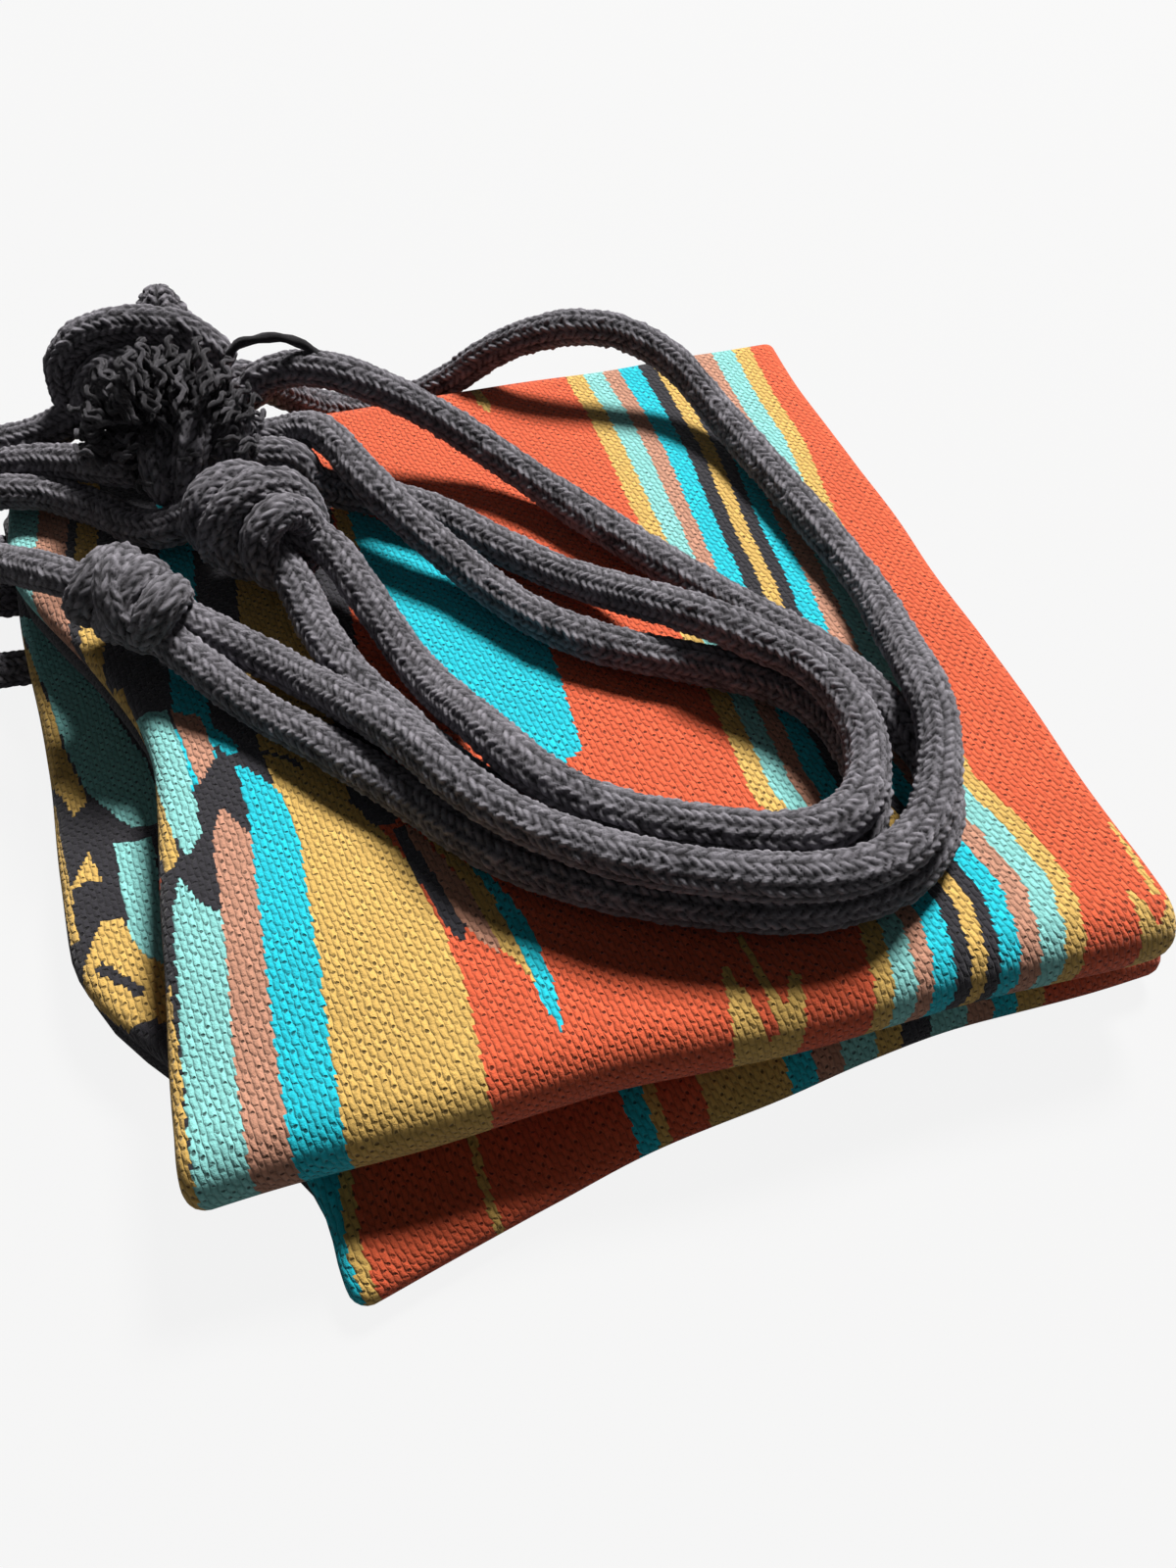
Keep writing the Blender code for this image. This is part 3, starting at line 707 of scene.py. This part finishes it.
flat_map = flat_plan + PLAN_TO_MAP
left_edge = flat_plan[:, HEM_STEPS + OUTER_STEPS, None, 0]
flat_map[..., 0] -= past_edge / GRID_STEP + np.where(past_edge > 0, flat_plan[..., 0] - left_edge, 0)
front_edge = (flat_plan[np.argmin(np.abs(level[:, 0] - 3) + along[:, 0])] + PLAN_TO_MAP)[None, :, 1]
whole = np.round(level) == level
flat_map[..., 1] = np.select(
    [(level > 2) & ~whole, level == 2, (level > 1) & (level < 2), (level > 0) & (level < 1), level == 0],
    [
        front_edge - FOLD_OUTER_RADIUS * fold_turn,
        2 * front_edge - math.pi * FOLD_OUTER_RADIUS - flat_map[..., 1],
        flat_map[..., 1] - LOWER_MAP_DROP,
        flat_map[..., 1] - LOWER_MAP_DROP - FOLD_OUTER_RADIUS * fold_turn,
        2 * front_edge - math.pi * FOLD_OUTER_RADIUS - flat_map[..., 1] - LOWER_MAP_DROP,
    ],
    flat_map[..., 1] - np.where(level == 1, LOWER_MAP_DROP, 0.0),
)

points = np.concatenate([shaped * GRID_STEP, lift[..., None]], axis=-1).reshape(-1, 3) - GRID_MIDDLE
corner = on_grid(*PADS[1]["front_left"], 0.0)[:2]
from_corner = np.linalg.norm(points[:, :2] - corner, axis=1) / GRID_STEP
high = ease(points[:, 2], UPPER_PAD_FROM, UPPER_PAD_TO)
points[:, 2] -= DROOP * ease(DROOP_REACH - from_corner, 0, DROOP_REACH) * high
in_front = ease(-(points[:, 1] + GRID_MIDDLE[1]) / GRID_STEP, FRONT_FALLS_FROM, FRONT_FALLS_TO)
above_floor = points[:, 2] - PLY_THICKNESS / 2
points[:, 2] -= above_floor * FRONT_FALL * in_front * (1 - high)
noise.seed_set(WAVE_SEED)
waves = np.array([noise.noise_vector(Vector(point) * WAVES_PER_METRE) for point in points])
points[:, 2] -= SAG * (0.5 + 0.5 * waves[:, 2]) * high
points[:, :2] += waves[:, :2] * WAVE_SIZE

rings, width = len(stations), len(section)
row, place = np.meshgrid(np.arange(rings - 1), np.arange(width - 1), indexing="ij")
first = row * width + place
quads = np.stack([first, first + width, first + width + 1, first + 1], axis=-1).reshape(-1, 4)
mesh = bpy.data.meshes.new("folded_cloth")
mesh.from_pydata(points.tolist(), [], quads.tolist())
layer = mesh.uv_layers.new(name="cloth_flat")
layer.uv.foreach_set("vector", flat_map.reshape(-1, 2)[quads.ravel()].astype(np.float32).ravel())
cloth = placed("folded_cloth", mesh)
thicken = cloth.modifiers.new("thickness", "SOLIDIFY")
thicken.thickness = PLY_THICKNESS
thicken.offset = 0.0
with bpy.context.temp_override(object=cloth, active_object=cloth, selected_objects=[cloth]):
    bpy.ops.object.modifier_apply(modifier=thicken.name)
cloth.data.shade_smooth()
print("cloth", len(cloth.data.polygons), "faces, map from", flat_map.reshape(-1, 2).min(0).round(), "to",
      flat_map.reshape(-1, 2).max(0).round())

# %% [markdown]
# A finish is a sum worked out at every point of a surface. To write it as one would on paper, a small
# class stands for a socket: plus, minus and the rest add Math nodes, and one method adds any other node.

# %% Shader sums
class Shade:
    """One output in a material's tree, with arithmetic."""

    def __init__(self, tree, socket=None):
        self.tree = tree
        self.socket = socket

    def node(self, kind, settings, sockets, output=0):
        """Adds a node of this kind, sets it up, fills its sockets and returns one of its outputs."""
        made = self.tree.nodes.new(kind)
        for name, value in settings.items():
            if name == "stops":
                ramp = made.color_ramp
                while len(ramp.elements) < len(value):
                    ramp.elements.new(1.0)
                for element, (position, colour) in zip(ramp.elements, value):
                    element.position = position
                    element.color = colour
            elif name == "interpolation":
                made.color_ramp.interpolation = value
            elif name == "curve":
                points = made.mapping.curves[0].points
                for place in value[1:-1]:
                    points.new(*place)
                points[0].location = value[0]
                points[-1].location = value[-1]
                for point in points:
                    point.handle_type = "VECTOR"
                made.mapping.update()
            else:
                setattr(made, name, value)
        for key, value in sockets.items():
            if isinstance(value, Shade):
                self.tree.links.new(value.socket, made.inputs[key])
            else:
                made.inputs[key].default_value = value
        return Shade(self.tree, made.outputs[output])

    def maths(self, operation, *values):
        return self.node("ShaderNodeMath", {"operation": operation}, dict(enumerate(values)))

    def __add__(self, other):
        return self.maths("ADD", self, other)

    def __sub__(self, other):
        return self.maths("SUBTRACT", self, other)

    def __rsub__(self, other):
        return self.maths("SUBTRACT", other, self)

    def __mul__(self, other):
        return self.maths("MULTIPLY", self, other)

    def __truediv__(self, other):
        return self.maths("DIVIDE", self, other)

    def __pow__(self, other):
        return self.maths("POWER", self, other)

    def __lt__(self, other):
        return self.maths("LESS_THAN", self, other)

    def __gt__(self, other):
        return self.maths("GREATER_THAN", self, other)

    def __abs__(self):
        return self.maths("ABSOLUTE", self)

    __radd__ = __add__
    __rmul__ = __mul__

    def floor(self):
        return self.maths("FLOOR", self)

    def fraction(self):
        return self.maths("FRACT", self)

    def clear(self):
        """Held between 0 and 1."""
        return self.node("ShaderNodeClamp", {}, {0: self})

    def blend(self, other, share):
        """This colour, turning into the other by share."""
        return self.node("ShaderNodeMix", {"data_type": "RGBA"}, {0: share, 6: self, 7: other}, 2)

    def tint(self, share):
        """This colour times a grey of that share."""
        grey = self.node("ShaderNodeCombineColor", {}, {0: share, 1: share, 2: share})
        settings = {"data_type": "RGBA", "blend_type": "MULTIPLY"}
        return self.node("ShaderNodeMix", settings, {0: 1.0, 6: self, 7: grey}, 2)

    def part(self, axis):
        """One number of this vector."""
        return self.node("ShaderNodeSeparateXYZ", {}, {0: self}, axis)

    def speckle(self, scale, detail=2.0, roughness=0.5):
        """Noise at this place."""
        sockets = {"Vector": self, "Scale": scale, "Detail": detail, "Roughness": roughness}
        return self.node("ShaderNodeTexNoise", {}, sockets)


def new_finish(name):
    """A material and its tree, with the shader's node."""
    material = bpy.data.materials.new(name)
    material.use_nodes = True
    return material, Shade(material.node_tree), material.node_tree.nodes["Principled BSDF"]


def set_up(shader, **values):
    """Links shades into the shader's sockets and sets plain values on the others."""
    for name, value in values.items():
        socket = shader.inputs[name.replace("_", " ")]
        if isinstance(value, Shade):
            value.tree.links.new(value.socket, socket)
        else:
            socket.default_value = value


def wear(piece, material):
    """Gives a piece this material alone."""
    piece.data.materials.clear()
    piece.data.materials.append(material)


# %% [markdown]
# The rope's cotton is charcoal, and its lit fuzz looks grey. The colour is painted darker in the furrows
# between stitches, which is painted shade. Each stitch has fine threads along it, and loose fibre gives a
# soft sheen with a few pale flecks.

# %% The rope's finish
COTTON_DARK = (0.010, 0.0095, 0.011, 1)
COTTON_LIGHT = (0.30, 0.288, 0.325, 1)
COTTON_SHEEN = (0.6, 0.58, 0.63, 1)
ROPE_BUMP = 0.0008
THREADS_ACROSS = 7

rope_finish, shade, shader = new_finish("charcoal_cotton")
flat = shade.node("ShaderNodeUVMap", {"uv_map": "rope_flat"}, {})
run_along = flat.part(1)
column = flat.part(0) * BRAID_COLUMNS
inside = column.fraction()
lean = ((column.floor() * 0.5).fraction() * 4 - 1) * -BRAID_LEAN
thread_across = inside * THREADS_ACROSS + (run_along / BRAID_STITCH + lean * inside) * 1.6
threads = shade.node("ShaderNodeCombineXYZ", {}, {0: thread_across, 1: column.floor(), 2: run_along * 250})
thread_noise = threads.speckle(1.0, 3.0)
rise = shade.node("ShaderNodeAttribute", {"attribute_name": "rope_rise"}, {}, 2)
place = shade.node("ShaderNodeTexCoord", {}, {}, 3)
fuzz = place.speckle(1300.0, 6.0, 0.85)
patches = place.speckle(60.0)
raised = rise + thread_noise * 0.45 + fuzz * 0.55
flecks = ((fuzz - 0.60) * 5).clear()
# Painted shade: low furrows of the braid are darkened; fibre noise, patches and flecks are the cotton's
# tone.
furrow_shade_and_fibres = (raised * 0.85 - 0.66 + patches * 0.35 + flecks * 0.6).clear()
colour = shade.node("ShaderNodeMix", {"data_type": "RGBA"}, {0: furrow_shade_and_fibres, 6: COTTON_DARK, 7: COTTON_LIGHT}, 2)
bump = shade.node("ShaderNodeBump", {}, {"Strength": 0.8, "Distance": ROPE_BUMP, "Height": raised})
set_up(shader, Base_Color=colour, Normal=bump, Roughness=0.95, Specular_IOR_Level=0.15)
set_up(shader, Sheen_Weight=0.3, Sheen_Roughness=0.5, Sheen_Tint=COTTON_SHEEN)
for piece in ropes.values():
    wear(piece, rope_finish)
print("rope finish", len(rope_finish.node_tree.nodes), "nodes")

# %% [markdown]
# The cloth's pattern is a traditional one of stripes, points and stepped shapes in six yarns. On a loom a
# shape can only change colour at a yarn, so every edge is a small stair. We get that by asking for the
# pattern not at the point itself but at the middle of the yarn float that covers it.

# %% Yarn floats
RUST = (0.575, 0.095, 0.039, 1)
TURQUOISE = (0.012, 0.45, 0.555, 1)
MINT = (0.21, 0.52, 0.50, 1)
BROWN = (0.43, 0.215, 0.145, 1)
MUSTARD = (0.55, 0.35, 0.097, 1)
BLACK = (0.022, 0.021, 0.026, 1)
FLOAT_WIDTH = 1.65
FLOAT_LENGTH = 3.2
FLOAT_SHIFT = 0.5
COLUMN_SLANT = 0.18
YARN_DRIFT = 1.3

cloth_finish, shade, shader = new_finish("striped_blanket_cloth")
flat = shade.node("ShaderNodeUVMap", {"uv_map": "cloth_flat"}, {})
map_x = flat.part(0) + (flat.speckle(0.33) - 0.5) * YARN_DRIFT
map_y = flat.part(1) + (flat.speckle(0.21) - 0.5) * YARN_DRIFT * 2
slanted_x = map_x + map_y * COLUMN_SLANT
column = (slanted_x / FLOAT_WIDTH).floor()
shifted = map_y / FLOAT_LENGTH - column * FLOAT_SHIFT
step = shifted.floor()
off_x = slanted_x - (column + 0.5) * FLOAT_WIDTH
off_y = (shifted - step - 0.5) * FLOAT_LENGTH
from_end = ((shifted + 0.5).fraction() - 0.5) * FLOAT_LENGTH
half_step = (shifted * 2).floor() * 0.5
half_column = (slanted_x * 2 / FLOAT_WIDTH).floor() * 0.5
yarn_y = (half_step + 0.25 + column * FLOAT_SHIFT) * FLOAT_LENGTH
yarn_x = (half_column + 0.25) * FLOAT_WIDTH - yarn_y * COLUMN_SLANT
print("yarn floats", FLOAT_WIDTH, "by", FLOAT_LENGTH, "mm")

# %% [markdown]
# The pattern is drawn in plain outlines, one over the other, in millimetres on the flat cloth. Each
# outline has a left side and a right side, and a curve gives how far across each side is at any height,
# so a point is inside where it lies between the two. Bands that only change across the cloth come from a
# ramp with hard steps.

# %% Drawing tools for the pattern
UNDER_SIDE_PAST = -125
MIRRORED_ABOUT = -30
LOWER_PAD_PAST = 50

under_side = yarn_x < UNDER_SIDE_PAST
mirrored = 2 * MIRRORED_ABOUT - yarn_x
x_here = yarn_x + (mirrored - yarn_x) * under_side
lower_pad = yarn_y < LOWER_PAD_PAST
y_here = yarn_y + lower_pad * LOWER_MAP_DROP


def follow(position, values):
    """A smooth value that follows position, from rising pairs of place and value."""
    low, high = values[0][0], values[-1][0]
    least = min(value for _, value in values)
    span = max(value for _, value in values) - least or 1.0
    curve = [((place - low) / (high - low), (value - least) / span) for place, value in values]
    share = (position - low) / (high - low)
    return shade.node("ShaderNodeFloatCurve", {"curve": curve}, {1: share}) * span + least


def outline(points):
    """1 inside an outline of points in millimetres, and 0 outside. A level line crosses it only once."""
    left, right = [], []
    for height in sorted({y for _, y in points}):
        crossings = [x for x, y in points if y == height]
        for (ax, ay), (bx, by) in zip(points, points[1:] + points[:1]):
            if min(ay, by) < height < max(ay, by):
                crossings.append(ax + (bx - ax) * (height - ay) / (by - ay))
        left.append((height, min(crossings)))
        right.append((height, max(crossings)))
    between = (x_here > follow(y_here, left)) * (x_here < follow(y_here, right))
    return between * (y_here > left[0][0]) * (y_here < left[-1][0])


def bands(position, start, end, stripes):
    """Hard stripes: each is where it starts and its colour, between start and end of position."""
    share = (position - start) / (end - start)
    stops = [((where - start) / (end - start), colour) for where, colour in stripes]
    return shade.node("ShaderNodeValToRGB", {"interpolation": "CONSTANT", "stops": stops}, {0: share})


# %% [markdown]
# The top pad has a group of stripes along its right, bands at its far left, and points and steps drawn on
# the rust ground. Each shape is a colour and an outline, so a loop can lay them one over the other.

# %% The top pad's pattern
STRIPES_LEFT = ((100, 104), (120, 106), (140, 109), (165, 103), (190, 97), (230, 98),
                (300, 101), (400, 101))
STRIPES_RIGHT = ((100, 160), (120, 162), (140, 167), (160, 165), (180, 160), (260, 164), (300, 168),
                 (340, 173),
                 (400, 175))
STRIPE_GROUP = (
    (0.0, MUSTARD), (0.09, MINT), (0.195, BROWN), (0.28, TURQUOISE), (0.385, BLACK), (0.458, MUSTARD),
    (0.533, BLACK), (0.60, TURQUOISE), (0.695, BROWN), (0.79, MINT), (0.905, MUSTARD),
)
FAR_LEFT_END, FAR_LEFT_FRONT, FAR_LEFT_RAMP_END = 3, 205, 5
FAR_LEFT_BANDS = (
    (-125, BLACK), (-106, MINT), (-93, BROWN), (-82, BLACK), (-79, MUSTARD), (-72, BLACK),
        (-53, TURQUOISE),
    (-43, BLACK), (-31, MUSTARD), (-9, BLACK),
)
TOP_SHAPES = (
    (MUSTARD, [(73, 139), (75, 138.5), (79, 122), (79, 104), (70, 104), (71, 124)]),
    (MUSTARD, [(79.5, 147), (81, 147), (84.5, 128), (84, 121), (82, 121)]),
    (MUSTARD, [(89, 134), (91, 133), (87, 112), (86, 104), (78, 104), (79, 118), (83, 122)]),
    (MUSTARD, [(187, 154), (188.5, 154), (187.5, 130), (185.5, 130)]),
    (MUSTARD, [(179, 133), (181, 133), (184, 118), (183, 104), (177, 104)]),
    (MUSTARD, [(191, 131), (193, 131), (190, 112), (189, 104), (182, 104), (183, 122)]),
    (MUSTARD, [(63, 401), (66, 401), (69, 386), (67.5, 382), (65, 388)]),
    (TURQUOISE, [(8, 342), (16, 334), (30, 320), (42, 300), (58, 272), (58, 215), (40, 205), (20, 250),
        (10, 300)]),
    (TURQUOISE, [(48, 216), (48, 196), (36, 196), (30, 216)]),
    (MUSTARD, [(3, 346), (8, 342), (9, 318), (5, 318)]),
    (BLACK, [(-64, 90), (-20, 90), (-20, 232), (-30, 239), (-37, 242), (-45, 239), (-55, 222),
        (-61, 200), (-64, 165)]),
    (MUSTARD, [(-30, 90), (8, 90), (9.5, 150), (8, 165), (3, 192), (0, 201), (-9, 215), (-22, 231),
        (-30, 238),
               (-28, 220)]),
    (BLACK, [(1, 204), (4, 204), (9, 187), (13.5, 166), (12, 162), (8, 170), (4, 190)]),
    (BROWN, [(4, 204), (9, 198), (16, 180), (20.5, 160), (19, 157), (13.5, 166), (9, 186)]),
    (MUSTARD, [(9, 200), (16, 192), (23, 172), (27.5, 150), (26, 146), (20.5, 158), (16, 180)]),
    (TURQUOISE, [(17, 190), (22, 182), (28, 166), (30.5, 148), (30.5, 134), (29, 131), (27, 140),
        (22, 174)]),
    (MINT, [(-57.5, 90), (-45, 90), (-45, 188), (-50, 192), (-55, 202), (-57, 192)]),
    (BROWN, [(-45, 90), (-35, 90), (-34, 200), (-37, 212), (-43, 221), (-46, 214), (-45, 188)]),
    (TURQUOISE, [(-35, 90), (-24, 90), (-23, 160), (-23.5, 205), (-26, 220), (-32, 230), (-38, 236),
        (-36, 215)]),
    (MUSTARD, [(-66, 90), (-57.5, 90), (-57.5, 150), (-59, 172), (-63, 165)]),
    (MUSTARD, [(-65, 250), (-61, 240), (-56, 215), (-55, 206), (-58, 204), (-61, 215), (-64, 235)]),
    (MINT, [(-64, 263), (-55, 263), (-51, 240), (-49, 215), (-52, 207), (-56, 215), (-60, 235)]),
    (BROWN, [(-54, 262), (-46, 258), (-43, 246), (-44, 239), (-48, 232), (-51, 245)]),
    (TURQUOISE, [(-46, 258), (-38, 246), (-36, 241), (-40, 240), (-43, 247)]),
    (MUSTARD, [(-71, 277), (-66, 275), (-63.5, 262), (-64, 255), (-69, 257)]),
)

stripes_start = follow(y_here, STRIPES_LEFT)
stripes_end = follow(y_here, STRIPES_RIGHT)
stripe_place = (x_here - stripes_start) / (stripes_end - stripes_start)
stripe_group = bands(stripe_place, 0.0, 1.0, STRIPE_GROUP)
in_group = (stripe_place > 0) * (stripe_place < 1)
far_left = bands(x_here, UNDER_SIDE_PAST, FAR_LEFT_RAMP_END, FAR_LEFT_BANDS)
in_far_left = (x_here < FAR_LEFT_END) * (y_here > FAR_LEFT_FRONT)
top_pattern = stripe_group.blend(RUST, 1 - in_group).blend(far_left, in_far_left)
for colour, points in TOP_SHAPES:
    top_pattern = top_pattern.blend(colour, outline(points))
print("top pad", len(TOP_SHAPES), "shapes,", len(cloth_finish.node_tree.nodes), "nodes so far")

# %% [markdown]
# The lower pad is the same cloth, further along. Its front shows narrow bands, and its ledge at the left
# is black with a few points of colour, so the same two tools draw it.

# %% The lower pad's pattern
LOWER_FRONT_BANDS = (
    (-60, BLACK), (-38, TURQUOISE), (-29.5, MUSTARD), (-26.5, RUST), (2.5, MUSTARD), (4.6, RUST),
        (42, TURQUOISE),
    (47.5, MUSTARD), (51.5, RUST), (62, MUSTARD), (86, TURQUOISE), (94, BROWN), (101, MINT),
        (111, MUSTARD),
    (119, BLACK), (128, MINT), (138, BROWN), (146, TURQUOISE), (153, MUSTARD), (160, RUST),
)
LOWER_SHAPES = (
    (MUSTARD, [(-115, 372), (-104, 335), (-92, 278), (-84, 254), (-88, 248), (-99, 272), (-112, 330)]),
    (MINT, [(-106, 345), (-97, 335), (-66, 266), (-62, 240), (-72, 240), (-84, 256), (-92, 280)]),
    (MINT, [(-77, 236), (-66, 236), (-62, 186), (-71, 190)]),
    (MUSTARD, [(-97, 256), (-94, 256), (-89, 230), (-85.5, 203), (-88, 203), (-93, 230)]),
    (MUSTARD, [(-84, 234), (-88, 221), (-80, 223)]),
    (MUSTARD, [(-80, 208), (-75, 208), (-70, 195), (-64, 190), (-64, 173), (-76, 175), (-87, 188)]),
    (BLACK, [(-82, 193), (-72, 182), (-70, 184), (-80, 195)]),
)
LEDGE_END, LEDGE_FRONT = -40, 140

lower_front = bands(x_here, -60, 220, LOWER_FRONT_BANDS)
in_ledge = (x_here < LEDGE_END) * (y_here > LEDGE_FRONT)
lower_pattern = lower_front.blend(BLACK, in_ledge)
for colour, points in LOWER_SHAPES:
    lower_pattern = lower_pattern.blend(colour, outline(points))
pattern = top_pattern.blend(lower_pattern, lower_pad)
print("lower pad", len(LOWER_SHAPES), "shapes,", len(cloth_finish.node_tree.nodes), "nodes")

# %% [markdown]
# Last, the yarn itself. Each float is a plump grain that leans a little, with a thin seam where it lies
# against its neighbours and a small opening at each end; the colour is painted darker in the seams and
# openings, which is painted shade. No two yarns took the dye quite alike, and the whole surface is hairy.
# The same openings that hold the painted shade also sink the bump.

# %% The cloth's finish
FLOAT_LEAN = 0.10
OPENING_HALF_WIDTH = 0.50
OPENING_HALF_LENGTH = 0.55
OPENING_LEAN = 0.25
CLOTH_BUMP = 0.0006

across_float = abs((off_x + off_y * FLOAT_LEAN) / (FLOAT_WIDTH / 2))
from_middle = abs(off_x - from_end * OPENING_LEAN) / OPENING_HALF_WIDTH
opening = (1.3 - from_middle ** 2 - (abs(from_end) / OPENING_HALF_LENGTH) ** 2).clear()
seam = (across_float ** 3).clear()
plump = across_float ** 2 + (abs(off_y) / (FLOAT_LENGTH / 2)) ** 3

yarn_name = shade.node("ShaderNodeCombineXYZ", {}, {0: column, 1: step, 2: 0.0})
# One draw for each yarn: it sets the yarn's dye and how deep the painted shade in its openings is.
yarn_draw = shade.node("ShaderNodeTexWhiteNoise", {"noise_dimensions": "2D"}, {0: yarn_name}, 0)
place = shade.node("ShaderNodeTexCoord", {}, {}, 3)
hair = place.speckle(1400.0, 3.0, 0.7)
patches = place.speckle(30.0)
# Painted shade: openings and seams darken the colour, and the same mask sinks the bump.
sunk_and_shaded = opening * (yarn_draw * 1.3 - 0.05).clear() + seam * (0.2 + 0.4 * hair)
shade_and_tone = (1 - sunk_and_shaded * 0.82).clear() * (0.88 + 0.24 * yarn_draw) * (0.62 + 0.7 * hair + 0.2 * patches)
colour = pattern.tint(shade_and_tone)
raised = hair * 0.8 - sunk_and_shaded * 0.8 - plump * 0.35
bump = shade.node("ShaderNodeBump", {}, {"Strength": 0.8, "Distance": CLOTH_BUMP, "Height": raised})
set_up(shader, Base_Color=colour, Normal=bump, Roughness=0.9, Specular_IOR_Level=0.15)
set_up(shader, Sheen_Weight=0.12, Sheen_Roughness=0.5)
wear(cloth, cloth_finish)
print("cloth finish", len(cloth_finish.node_tree.nodes), "nodes")

# %% [markdown]
# The table is plain white. A big window stood to the right and a little behind, so one soft lamp does
# most of the work, and a weak even sky fills the shadows.

# %% Floor, lamp and sky
FLOOR_SIZE = 6.0
FLOOR_BELOW = 0.0004
FLOOR_GREY = (0.20, 0.20, 0.20, 1)
FLOOR_SEEN_WHITE = 0.88
WHITE = (1, 1, 1, 1)
LAMP_COLOUR = (1.0, 0.98, 0.95)
LAMP_WAY = unit(np.array((0.43, 0.50, 0.90)))
LAMP_DISTANCE = 3.2
LAMP_SIZE = 0.84
LAMP_POWER = 232.0
SKY = 0.055

floor_mesh = bpy.data.meshes.new("table_top")
half = FLOOR_SIZE / 2
corners = [(-half, -half, 0), (half, -half, 0), (half, half, 0), (-half, half, 0)]
floor_mesh.from_pydata(corners, [], [(0, 1, 2, 3)])
floor = placed("table_top", floor_mesh)
floor.location.z = -FLOOR_BELOW
floor_finish, shade, shader = new_finish("white_table")
set_up(shader, Base_Color=FLOOR_GREY, Roughness=0.9, Specular_IOR_Level=0.1)
white = shade.node("ShaderNodeEmission", {}, {"Color": WHITE, "Strength": 1.0})
seen = shade.node("ShaderNodeLightPath", {}, {}, 0)
lit = Shade(shade.tree, shader.outputs[0])
mixed = shade.node("ShaderNodeMixShader", {}, {0: seen * FLOOR_SEEN_WHITE, 1: lit, 2: white})
set_up(shade.tree.nodes["Material Output"], Surface=mixed)
wear(floor, floor_finish)

lamp = bpy.data.lights.new("window", "AREA")
lamp.shape = "DISK"
lamp.size = LAMP_SIZE
lamp.energy = LAMP_POWER
lamp.color = LAMP_COLOUR
window = placed("window", lamp)
window.location = Vector(LAMP_WAY * LAMP_DISTANCE)
window.rotation_euler = Vector(LAMP_WAY).to_track_quat("Z", "Y").to_euler()

sky = bpy.data.worlds.new("sky")
sky.use_nodes = True
bpy.context.scene.world = sky
shade = Shade(sky.node_tree)
seen = shade.node("ShaderNodeLightPath", {}, {}, 0)
glossy = shade.node("ShaderNodeLightPath", {}, {}, 3)
strength = seen.maths("MAXIMUM", seen, glossy) * (1 - SKY) + SKY
set_up(sky.node_tree.nodes["Background"], Color=WHITE, Strength=strength)
bpy.context.scene.view_settings.view_transform = "Standard"
print("lamp", lamp.energy, "W")

# %% [markdown]
# Every rope but the leads now moves with the bridle, and the cloth with the pack. The leads stay where
# they are, and the part's solids that the pieces replace are hidden.

# %% Bodies and hidden solids
LEAD_LENGTHS = {1: 0.155, 2: 0.197, 3: 0.149, 4: 0.168}

for name, piece in ropes.items():
    if not name.startswith("lead"):
        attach(piece, "bridle")
        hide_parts(name)
for number, length in LEAD_LENGTHS.items():
    name = f"lead_{number}"
    x, y, _ = on_grid(HINGE_X, LEAD_ENDS_Y[number], 0.0)
    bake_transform(ropes[name])
    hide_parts(f"lead_rope_{number}", f"hem_rope_{number}")
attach(cloth, "pack")
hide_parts("hammock_cloth")
